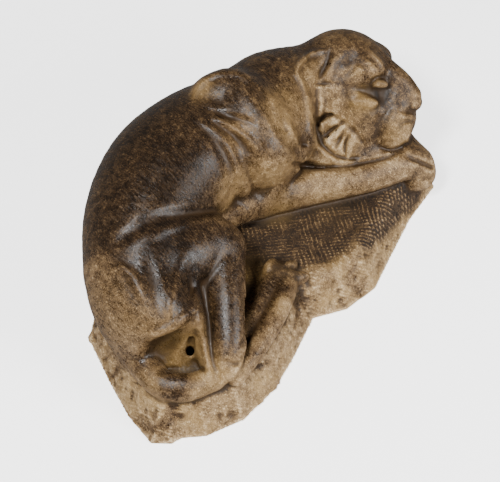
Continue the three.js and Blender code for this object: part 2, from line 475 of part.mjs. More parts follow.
// Fewer facets: edges are folded away where the shape loses least, and every fold keeps the shell closed
function thin({ points, faces }, wanted, care) {
  const underside = points.map((p) => Math.abs(p[2]) < GRID_STEP * 1e-3);
  const quadric = points.map(() => new Float64Array(10));
  const around = points.map(() => new Set());
  const alive = new Uint8Array(faces.length).fill(1);
  const stamp = new Uint32Array(points.length);
  const normalOf = (a, b, c) => cross(sub(b, a), sub(c, a));
  const add = (q, n, d, weight) => {
    const v = [n[0], n[1], n[2], d];
    let s = 0;
    for (let i = 0; i < 4; i++) for (let j = i; j < 4; j++) q[s++] += v[i] * v[j] * weight;
  };
  faces.forEach((face, f) => {
    const [a, b, c] = face.map((i) => points[i]);
    const n = normalOf(a, b, c);
    const size = Math.hypot(...n) || 1e-12;
    const unit = n.map((v) => v / size);
    const d = -dot(unit, a);
    face.forEach((i) => {
      around[i].add(f);
      add(quadric[i], unit, d, size * care(points[i]));
    });
  });
  const neighbours = (i) => {
    const out = new Set();
    for (const f of around[i]) for (const v of faces[f]) if (v !== i) out.add(v);
    return out;
  };
  const costAt = (q, [x, y, z]) => q[0] * x * x + 2 * q[1] * x * y + 2 * q[2] * x * z + 2 * q[3] * x
    + q[4] * y * y + 2 * q[5] * y * z + 2 * q[6] * y + q[7] * z * z + 2 * q[8] * z + q[9];
  const best = (i, j) => {
    const q = quadric[i].map((v, s) => v + quadric[j][s]);
    const middle = points[i].map((v, s) => (v + points[j][s]) / 2);
    const tries = [middle, points[i], points[j]];
    const [a, b, c, d, e, f] = [q[0], q[1], q[2], q[4], q[5], q[7]];
    const det = a * (d * f - e * e) - b * (b * f - c * e) + c * (b * e - c * d);
    const scale = Math.cbrt(Math.abs(det));
    if (scale > 1e-3 * (a + d + f)) {
      const [r, s, t] = [-q[3], -q[6], -q[8]];
      const solved = [
        (r * (d * f - e * e) + b * (e * t - s * f) + c * (s * e - d * t)) / det,
        (a * (s * f - e * t) + r * (c * e - b * f) + c * (b * t - c * s)) / det,
        (a * (d * t - e * s) + b * (c * s - b * t) + r * (b * e - c * d)) / det,
      ];
      const edge = Math.hypot(...sub(points[i], points[j]));
      if (Math.hypot(...sub(solved, middle)) < 2 * edge) tries.push(solved);
    }
    let at = middle;
    let cost = Infinity;
    if (underside[i] !== underside[j]) {
      at = underside[i] ? points[i] : points[j];
      cost = costAt(q, at);
    } else {
      for (const t of tries) {
        const p = underside[i] ? [t[0], t[1], 0] : t;
        const value = costAt(q, p);
        if (value < cost) [at, cost] = [p, value];
      }
    }
    const long = Math.hypot(...sub(points[i], points[j]));
    return { i, j, at, cost: Math.max(cost, 0) + 1e-5 * long * long, si: stamp[i], sj: stamp[j] };
  };
  const heap = [];
  const push = (item) => {
    let n = heap.push(item) - 1;
    while (n > 0) {
      const up = (n - 1) >> 1;
      if (heap[up].cost <= heap[n].cost) break;
      [heap[up], heap[n]] = [heap[n], heap[up]];
      n = up;
    }
  };
  const pop = () => {
    const top = heap[0];
    const last = heap.pop();
    if (heap.length) {
      heap[0] = last;
      let n = 0;
      for (;;) {
        let low = 2 * n + 1;
        if (low >= heap.length) break;
        if (low + 1 < heap.length && heap[low + 1].cost < heap[low].cost) low++;
        if (heap[n].cost <= heap[low].cost) break;
        [heap[low], heap[n]] = [heap[n], heap[low]];
        n = low;
      }
    }
    return top;
  };
  const fits = (i, j, at) => {
    const shared = [...neighbours(i)].filter((v) => around[v].size && neighbours(j).has(v));
    if (shared.length !== 2) return false;
    for (const v of [i, j]) {
      for (const f of around[v]) {
        if (faces[f].includes(i) && faces[f].includes(j)) continue;
        const old = normalOf(...faces[f].map((s) => points[s]));
        const corner = faces[f].map((s) => (s === v ? at : points[s]));
        const now = normalOf(...corner);
        const size = Math.hypot(...now);
        if (dot(old, now) < 0.35 * Math.hypot(...old) * size) return false;
        const long = Math.max(...corner.map((p, s) => Math.hypot(...sub(p, corner[(s + 1) % 3]))));
        if (size < 0.06 * long * long) return false;
      }
    }
    return true;
  };
  for (let i = 0; i < points.length; i++) for (const j of neighbours(i)) if (i < j) push(best(i, j));
  let left = faces.length;
  while (left > wanted && heap.length) {
    const { i, j, at, si, sj } = pop();
    if (stamp[i] !== si || stamp[j] !== sj || !around[i].size || !around[j].size) continue;
    if (!fits(i, j, at)) continue;
    for (const f of [...around[j]]) {
      if (faces[f].includes(i)) {
        alive[f] = 0;
        for (const v of faces[f]) around[v].delete(f);
        left--;
      } else {
        faces[f] = faces[f].map((v) => (v === j ? i : v));
        around[i].add(f);
      }
    }
    around[j].clear();
    points[i] = at;
    underside[i] = underside[i] || underside[j];
    quadric[j].forEach((v, s) => (quadric[i][s] += v));
    stamp[i]++;
    stamp[j]++;
    for (const v of neighbours(i)) push(best(i, v));
  }
  return { points, faces: faces.filter((_, f) => alive[f]) };
}

// The finished block, moved so that the middle of its footprint stands on the origin
function carve() {
  const balls = forms.filter((form) => !form.cut);
  const ends = (i, sign) => [...OUTLINE.map((p) => p[i]), ...balls.map((f) => f.centre[i] + sign * f.radius)];
  const low = [0, 1].map((i) => Math.min(...ends(i, -1)));
  const high = [0, 1].map((i) => Math.max(...ends(i, 1)));
  const top = Math.max(...balls.map((f) => f.centre[2] + f.radius));
  const room = 2 * GRID_STEP;
  const start = [low[0] - room, low[1] - room, -room];
  const raw = shell(stone, start, [high[0] + room, high[1] + room, top + room], GRID_STEP);
  const care = (p) => (Math.hypot(...sub(p, HEAD.origin)) < 19 * SHARE ? HEAD_CARE : 1);
  const { points, faces } = thin(raw, FACETS, care);
  const used = [...new Set(faces.flat())];
  const middle = [0, 1].map((q) => {
    const values = used.map((i) => points[i][q]);
    return (Math.min(...values) + Math.max(...values)) / 2;
  });
  const slot = new Map(used.map((i, n) => [i, n]));
  const geometry = new THREE.BufferGeometry();
  const flat = used.flatMap((i) => [points[i][0] - middle[0], points[i][1] - middle[1], points[i][2]]);
  geometry.setAttribute("position", new THREE.Float32BufferAttribute(flat, 3));
  geometry.setIndex(faces.flatMap((face) => face.map((i) => slot.get(i))));
  geometry.computeVertexNormals();
  return geometry;
}

const lion = new THREE.Mesh(carve(), new THREE.MeshStandardMaterial({ color: 0x5c4a38, roughness: 0.45 }));
lion.name = "marble_lion";
const group = new THREE.Group();
group.add(lion);
export default group;
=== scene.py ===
import math

import bpy
import numpy as np
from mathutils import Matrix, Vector


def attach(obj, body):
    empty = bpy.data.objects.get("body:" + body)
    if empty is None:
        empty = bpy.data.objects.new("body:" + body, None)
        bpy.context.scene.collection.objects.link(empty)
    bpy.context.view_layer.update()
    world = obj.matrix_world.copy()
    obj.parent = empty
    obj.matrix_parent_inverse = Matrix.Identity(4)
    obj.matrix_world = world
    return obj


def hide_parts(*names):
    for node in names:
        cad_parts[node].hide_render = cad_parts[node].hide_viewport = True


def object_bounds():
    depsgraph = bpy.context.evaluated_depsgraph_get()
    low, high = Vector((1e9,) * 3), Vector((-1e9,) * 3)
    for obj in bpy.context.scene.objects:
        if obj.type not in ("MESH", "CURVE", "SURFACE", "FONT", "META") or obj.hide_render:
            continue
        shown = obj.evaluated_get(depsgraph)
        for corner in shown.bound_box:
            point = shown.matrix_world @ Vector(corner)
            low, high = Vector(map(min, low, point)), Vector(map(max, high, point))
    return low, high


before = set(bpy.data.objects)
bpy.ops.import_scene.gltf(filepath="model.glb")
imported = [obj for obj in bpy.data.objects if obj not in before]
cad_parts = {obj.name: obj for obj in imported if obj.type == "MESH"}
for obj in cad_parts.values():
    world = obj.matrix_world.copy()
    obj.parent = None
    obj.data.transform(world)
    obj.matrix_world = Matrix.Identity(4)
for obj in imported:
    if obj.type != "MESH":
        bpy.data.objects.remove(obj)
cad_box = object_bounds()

NODE = "marble_lion"

# Main sizes in metres, as in the solid
LENGTH = 0.390
BASE_HEIGHT = 0.038
BASE_FLARE = 0.019
BASE_EDGE_ROUND = 0.010
BASE_FOOT_ROUND = 0.0025
LINE_DEPTH = 0.005
HOLE_BORE = 0.009

# Fineness of the shell
GRID_STEP = 0.0015
MOST_TRIANGLES = 194000
CURVE_STEPS = 6
LINE_STEPS = 5

# The figure is posed in shares of its length: [along to the head, across to the back, height above the base]
SPAN = 97.5
SHARE = LENGTH / SPAN

# How far from the surface carved lines are looked for, and how far in height a line reaches, in shares
LINE_ZONE = 3
LINE_REACH = 5
FINE_REACH = 4


def place(points):
    """Shares to metres; columns past the third are left alone."""
    out = np.array(points, dtype=float)
    out[..., :3] *= SHARE
    out[..., 2] += BASE_HEIGHT
    return out


def soft_min(a, b, blend):
    """The lesser of two distances, rounded where they are nearly the same."""
    h = np.maximum(blend - np.abs(a - b), 0) / blend
    return np.minimum(a, b) - h * h * blend / 4


def soft_max(a, b, blend):
    return -soft_min(-a, -b, blend)


def curve(points, steps):
    """A smooth curve through rows of any number of values."""
    points = np.asarray(points, dtype=float)
    if len(points) < 3:
        return points
    padded = np.vstack([points[:1], points, points[-1:]])
    out = []
    for a, b, c, d in zip(padded, padded[1:], padded[2:], padded[3:]):
        for t in np.arange(steps) / steps:
            bend = 2 * a - 5 * b + 4 * c - d
            rest = 3 * b - a - 3 * c + d
            out.append((2 * b + (c - a) * t + bend * t * t + rest * t ** 3) / 2)
    out.append(points[-1])
    return np.array(out)


class Form:
    """One swelling or hollow: a distance, a soft blend and the ball that holds it."""

    def __init__(self, centre, radius, blend, cut, distance):
        self.centre = np.asarray(centre)
        self.radius = radius
        self.blend = blend * SHARE
        self.cut = cut
        self.distance = distance

    def add_to(self, d, points):
        """Joins this form to the distances d, or cuts it out, only where it can matter."""
        least = np.linalg.norm(points - self.centre, axis=1) - self.radius
        near = np.flatnonzero(least < (self.blend - d if self.cut else d + self.blend))
        own = self.distance(points[near])
        d[near] = soft_max(d[near], -own, self.blend) if self.cut else soft_min(d[near], own, self.blend)


def limb(points, blend, cut=False):
    """Balls of changing radius swept along a smooth curve; each row is x, y, height, radius."""
    rows = place(points)
    rows[:, 3] *= SHARE
    chain = curve(rows, CURVE_STEPS)
    centre = chain[:, :3].mean(axis=0)
    radius = (np.linalg.norm(chain[:, :3] - centre, axis=1) + chain[:, 3]).max()

    def distance(p):
        best = np.full(len(p), np.inf)
        for start, end in zip(chain, chain[1:]):
            run = end[:3] - start[:3]
            away = p - start[:3]
            t = np.clip(away @ run / (run @ run), 0, 1)
            gap = np.linalg.norm(away - t[:, None] * run, axis=1)
            best = np.minimum(best, gap - start[3] - (end[3] - start[3]) * t)
        return best

    return Form(centre, radius, blend, cut, distance)


class Frame:
    """An origin and three directions: ahead, side and top."""

    def __init__(self, origin, turn, roll):
        turn, roll = math.radians(turn), math.radians(roll)
        self.origin = place(origin)
        self.ahead = np.array([math.cos(turn), math.sin(turn), 0])
        level = np.array([-math.sin(turn), math.cos(turn), 0])
        self.side = level * math.cos(roll) + np.array([0, 0, math.sin(roll)])
        self.top = np.cross(self.ahead, self.side)

    def at(self, a, s, t):
        """The place so many shares ahead, aside and up."""
        return self.origin + (self.ahead * a + self.side * s + self.top * t) * SHARE


def spin(a, b, angle):
    """Two directions at right angles, turned in their own plane."""
    return a * math.cos(angle) + b * math.sin(angle), b * math.cos(angle) - a * math.sin(angle)


def lump(base, at, radii, blend, cut=False, tip=0, turn=0):
    """An ellipsoid in a frame, tipped up or turned by degrees."""
    ahead, side, top = base.ahead, base.side, base.top
    ahead, top = spin(ahead, top, math.radians(tip))
    ahead, side = spin(ahead, side, math.radians(turn))
    axes = np.array([ahead, side, top])
    centre = base.at(*at)
    r = np.array(radii) * SHARE

    def distance(p):
        own = (p - centre) @ axes.T
        near = np.linalg.norm(own / r, axis=1)
        steep = np.linalg.norm(own / (r * r), axis=1)
        return near * (near - 1) / np.maximum(steep, 1e-9)

    return Form(centre, r.max(), blend, cut, distance)


# Direction that the carver worked from, which lines are measured across
CARVER = np.array([-0.435, -0.435, 0.788])


class Line:
    """A carved line: rows of x, y, height, half width, depth; negative depth stands proud."""

    def __init__(self, points, reach=LINE_REACH):
        rows = place(points)
        rows[:, 3] *= SHARE
        rows[:, 4] *= LINE_DEPTH
        self.path = curve(rows, LINE_STEPS)
        self.reach = reach * SHARE
        self.centre = self.path[:, :3].mean(axis=0)
        out = np.linalg.norm(self.path[:, :3] - self.centre, axis=1) + self.path[:, 3]
        self.radius = out.max() + self.reach

    def depth(self, p):
        """How much the line takes off at each point."""
        out = np.zeros(len(p))
        near = np.flatnonzero(np.linalg.norm(p - self.centre, axis=1) < self.radius)
        best = np.ones(len(near))
        deep = np.zeros(len(near))
        for start, end in zip(self.path, self.path[1:]):
            run = end[:3] - start[:3]
            rise = run @ CARVER
            run = run - CARVER * rise
            away = p[near] - start[:3]
            along = away @ CARVER
            away = away - along[:, None] * CARVER
            t = np.clip(away @ run / (run @ run + 1e-12), 0, 1)
            fade = np.abs(along - rise * t) / self.reach
            share = np.linalg.norm(away - t[:, None] * run, axis=1) / (start[3] + (end[3] - start[3]) * t)
            closer = (share < best) & (fade < 1)
            best[closer] = share[closer]
            deep[closer] = ((start[4] + (end[4] - start[4]) * t) * (1 - fade ** 4))[closer]
        out[near] = deep * (1 - best * best) ** 2
        return out


# Foot of the base seen from above, in shares
OUTLINE = SHARE * np.array([
    [-43.8, -14.5], [-40.7, -17.9], [-38.3, -18.3], [-34.3, -21.6], [-25.8, -24.3], [-15.3, -23.4],
    [-6.6, -20.6], [3.2, -16.6], [10.1, -20.1], [18.9, -20.7], [28, -17.2], [39.3, -13], [50.4, -10.6],
    [53.6, -4.7], [54, 3], [51, 14], [42, 23], [28, 29], [10, 32], [-8, 33], [-20, 29], [-28.2, 20.1],
    [-35.5, 14.2], [-39.7, 3.1], [-42.7, -6.2],
])


def outline_distance(p):
    """Distance to the foot's outline seen from above, negative inside."""
    x, y = p[:, 0], p[:, 1]
    nearest = np.full(len(p), np.inf)
    inside = np.zeros(len(p), dtype=bool)
    for (ax, ay), (bx, by) in zip(OUTLINE, np.roll(OUTLINE, -1, axis=0)):
        ex, ey = bx - ax, by - ay
        t = np.clip(((x - ax) * ex + (y - ay) * ey) / (ex * ex + ey * ey), 0, 1)
        nearest = np.minimum(nearest, np.hypot(x - ax - ex * t, y - ay - ey * t))
        crossed = ((ay > y) != (by > y)) & (x < ax + ex * (y - ay) / (ey or 1e-9))
        inside ^= crossed
    return np.where(inside, -nearest, nearest)


def base_distance(p):
    """Distance to the base alone: sides that lean in, a flat top and a flat underside."""
    lean = BASE_FLARE / BASE_HEIGHT
    side = (outline_distance(p) + p[:, 2] * lean) / math.hypot(1, lean)
    return soft_max(soft_max(side, p[:, 2] - BASE_HEIGHT, BASE_EDGE_ROUND), -p[:, 2], BASE_FOOT_ROUND)


# The block's own directions, and the head's: turned towards the forearms and rolled onto its right cheek
BLOCK = Frame([0, 0, 0], turn=0, roll=0)
HEAD = Frame([41.5, 10, 15], turn=-63, roll=-28)


def body_forms():
    """Back, loins and neck in one long curve, and the belly down to the elbow."""
    return [
        limb([[19.5, 15.5, 14.5, 12], [9.5, 19.5, 15.5, 13.6], [-4, 20, 15.5, 14], [-15.5, 15.5, 14, 13.2],
              [-24, 8, 11.5, 12.2]], 3),
        limb([[16.5, 18, 18, 11], [25.5, 19, 17.8, 10.4], [36, 17, 15.5, 9]], 3),
        limb([[-2, 10, 8, 4.6], [4, 10, 6.5, 4.8], [10, 9, 4.5, 4.6]], 1.5),
    ]


def hind_forms():
    """Rump, thigh, ham, the hollow under it, shank, calf, foot with its toes, and the tail drawn round."""
    return [
        lump(BLOCK, [-29.5, -0.5, 7.5], [9, 12.5, 12.5], 4, turn=17),
        limb([[-28, 6, 11.5, 8.6], [-18.5, 5, 12.5, 9.6], [-12, 3, 12.5, 7.8], [-9, 0, 12.5, 5.4]], 1.2),
        limb([[-32.5, 3, 7.5, 4.5], [-29, -2.5, 8, 3.4], [-22, -4, 9.5, 3]], 2),
        lump(BLOCK, [-30.6, -10.8, 7.3], [6.6, 3.6, 5.4], 4.5, cut=True, turn=-40),
        limb([[-9, -1, 12.5, 4.6], [-16, -9, 9.5, 4.2], [-21, -15, 6, 3.7], [-24.5, -17.5, 3, 3.1]], 1.2),
        limb([[-14.5, -1.5, 9.5, 4], [-20, -7, 6.5, 3.6], [-24, -12.5, 3.5, 3.2], [-27, -17, 2, 2.4]], 2),
        limb([[-24, -20, 0.5, 1.8], [-13, -17, 0.6, 2.2], [-4, -13.5, 0.8, 2.3], [1.5, -10, 0.8, 2.4]], 1),
        limb([[-14, -13, -0.8, 2.4], [-5, -9.5, -0.6, 3], [1, -7.2, -0.2, 3.2]], 1.5),
        lump(BLOCK, [0.6, -5.6, 1.4], [2.6, 1.5, 1.9], 0.4, turn=20),
        lump(BLOCK, [3.2, -8.2, 1.2], [2.8, 1.5, 1.8], 0.4, turn=-5),
        lump(BLOCK, [3.4, -11.2, 0.6], [2.6, 1.5, 1.7], 0.4, turn=-30),
        limb([[-30, 13.5, 4.5, 3], [-34.5, 2, 2.5, 3], [-36.5, -9, 2, 3.2], [-34, -14.5, 2, 3.2],
              [-28, -17, 1.5, 2.6]], 1.2),
    ]


def fore_forms():
    """Shoulder blade, upper arm, near forearm with its paw, far forearm, and the chest on them."""
    return [
        limb([[11.5, 22.5, 26.5, 4.4], [15, 19.5, 26.5, 5.4], [14.5, 13.5, 24, 6.8],
              [13.5, 10, 19.5, 7.2]], 2),
        limb([[13.5, 10, 20, 7], [15, 11, 10.5, 6.4], [13.5, 9, 6, 5]], 2),
        limb([[12.5, 9, 3.5, 4.8], [22.5, 3.5, 3, 4.4], [34, -3, 3, 4.2], [41.5, -6, 3, 4.2],
              [45, -7.5, 1.5, 4.3], [45.5, -8.5, -1.5, 4.3]], 1),
        limb([[26, 13, 4, 4.6], [31, 5.5, 4.5, 4.4], [39, -1, 4.5, 4.3], [45, -4.5, 2.5, 4.2]], 1),
        limb([[22, 14, 6, 7], [31, 10, 5.5, 7], [40, 4, 5, 6], [46, 1, 3, 5]], 2),
    ]


def head_forms():
    """Skull, far ear, jaw, muzzle, nose and chin, then on both sides brow, cheek, lip, eye and cheekbone."""
    bridge = [[5, 0, 7, 3.2], [10.5, 0, 4.8, 2.6], [14, 0, 2.2, 2.2]]
    rows = []
    for a, s, t, r in bridge:
        x, y, z = HEAD.at(a, s, t)
        rows.append([x / SHARE, y / SHARE, (z - BASE_HEIGHT) / SHARE, r])
    forms = [
        lump(HEAD, [-2, 0, 4.2], [10.5, 8.8, 9.2], 2.5),
        lump(HEAD, [-2.6, 6.6, 8], [4, 2.2, 3.6], 0.8, tip=20),
        lump(HEAD, [3, 0, -6.5], [9, 7.4, 7], 2),
        lump(HEAD, [9.5, 0, -2], [6.4, 4.8, 7], 1.6),
        limb(rows, 1.4),
        lump(HEAD, [14.8, 0, 0.6], [1.9, 2.6, 1.9], 0.5),
        lump(HEAD, [11.6, 0, -8], [3.8, 3.6, 2.8], 1),
    ]
    near_side, far_side = -1, 1
    for q in (near_side, far_side):
        forms += [
            lump(HEAD, [3.8, q * 4.2, 8], [3.6, 2.6, 2.6], 1.8),
            lump(HEAD, [1, q * 4.6, -1.5], [8, 4, 8.5], 1.6),
            lump(HEAD, [-2.4, q * 8.6, 0.6], [3, 1.2, 4.4], 0.6, tip=8),
            lump(HEAD, [11.6, q * 2.7, -5], [4.2, 3.3, 5], 1.6),
            lump(HEAD, [8, q * 7.6, 2.2], [3.4, 1.4, 1.6], 4, cut=True),
            lump(HEAD, [7.4, q * 4.9, 4.7], [1.7, 1.3, 1], 1),
            lump(HEAD, [4.8, q * 7.1, 0.8], [3, 1.3, 1.2], 1.8),
        ]
    return forms


def hole_forms():
    """A drop-shaped slot in the hollow of the ham, drilled deeper in its middle."""
    mouth, end = HOLE_BORE / SHARE / 3, HOLE_BORE / SHARE / 1.6
    slot = [[-29.1, -10.9, 1.9, 0.7 * mouth], [-27.6, -10, 4.2, 1.5 * mouth], [-26.4, -9.4, 6.4, mouth]]
    bore = [[-27.8, -10.4, 5.2, mouth], [-25, -7, -4.5, end]]
    return [limb(slot, 0.4, cut=True), limb(bore, 0.4, cut=True)]


FORMS = body_forms() + hind_forms() + fore_forms() + head_forms() + hole_forms()

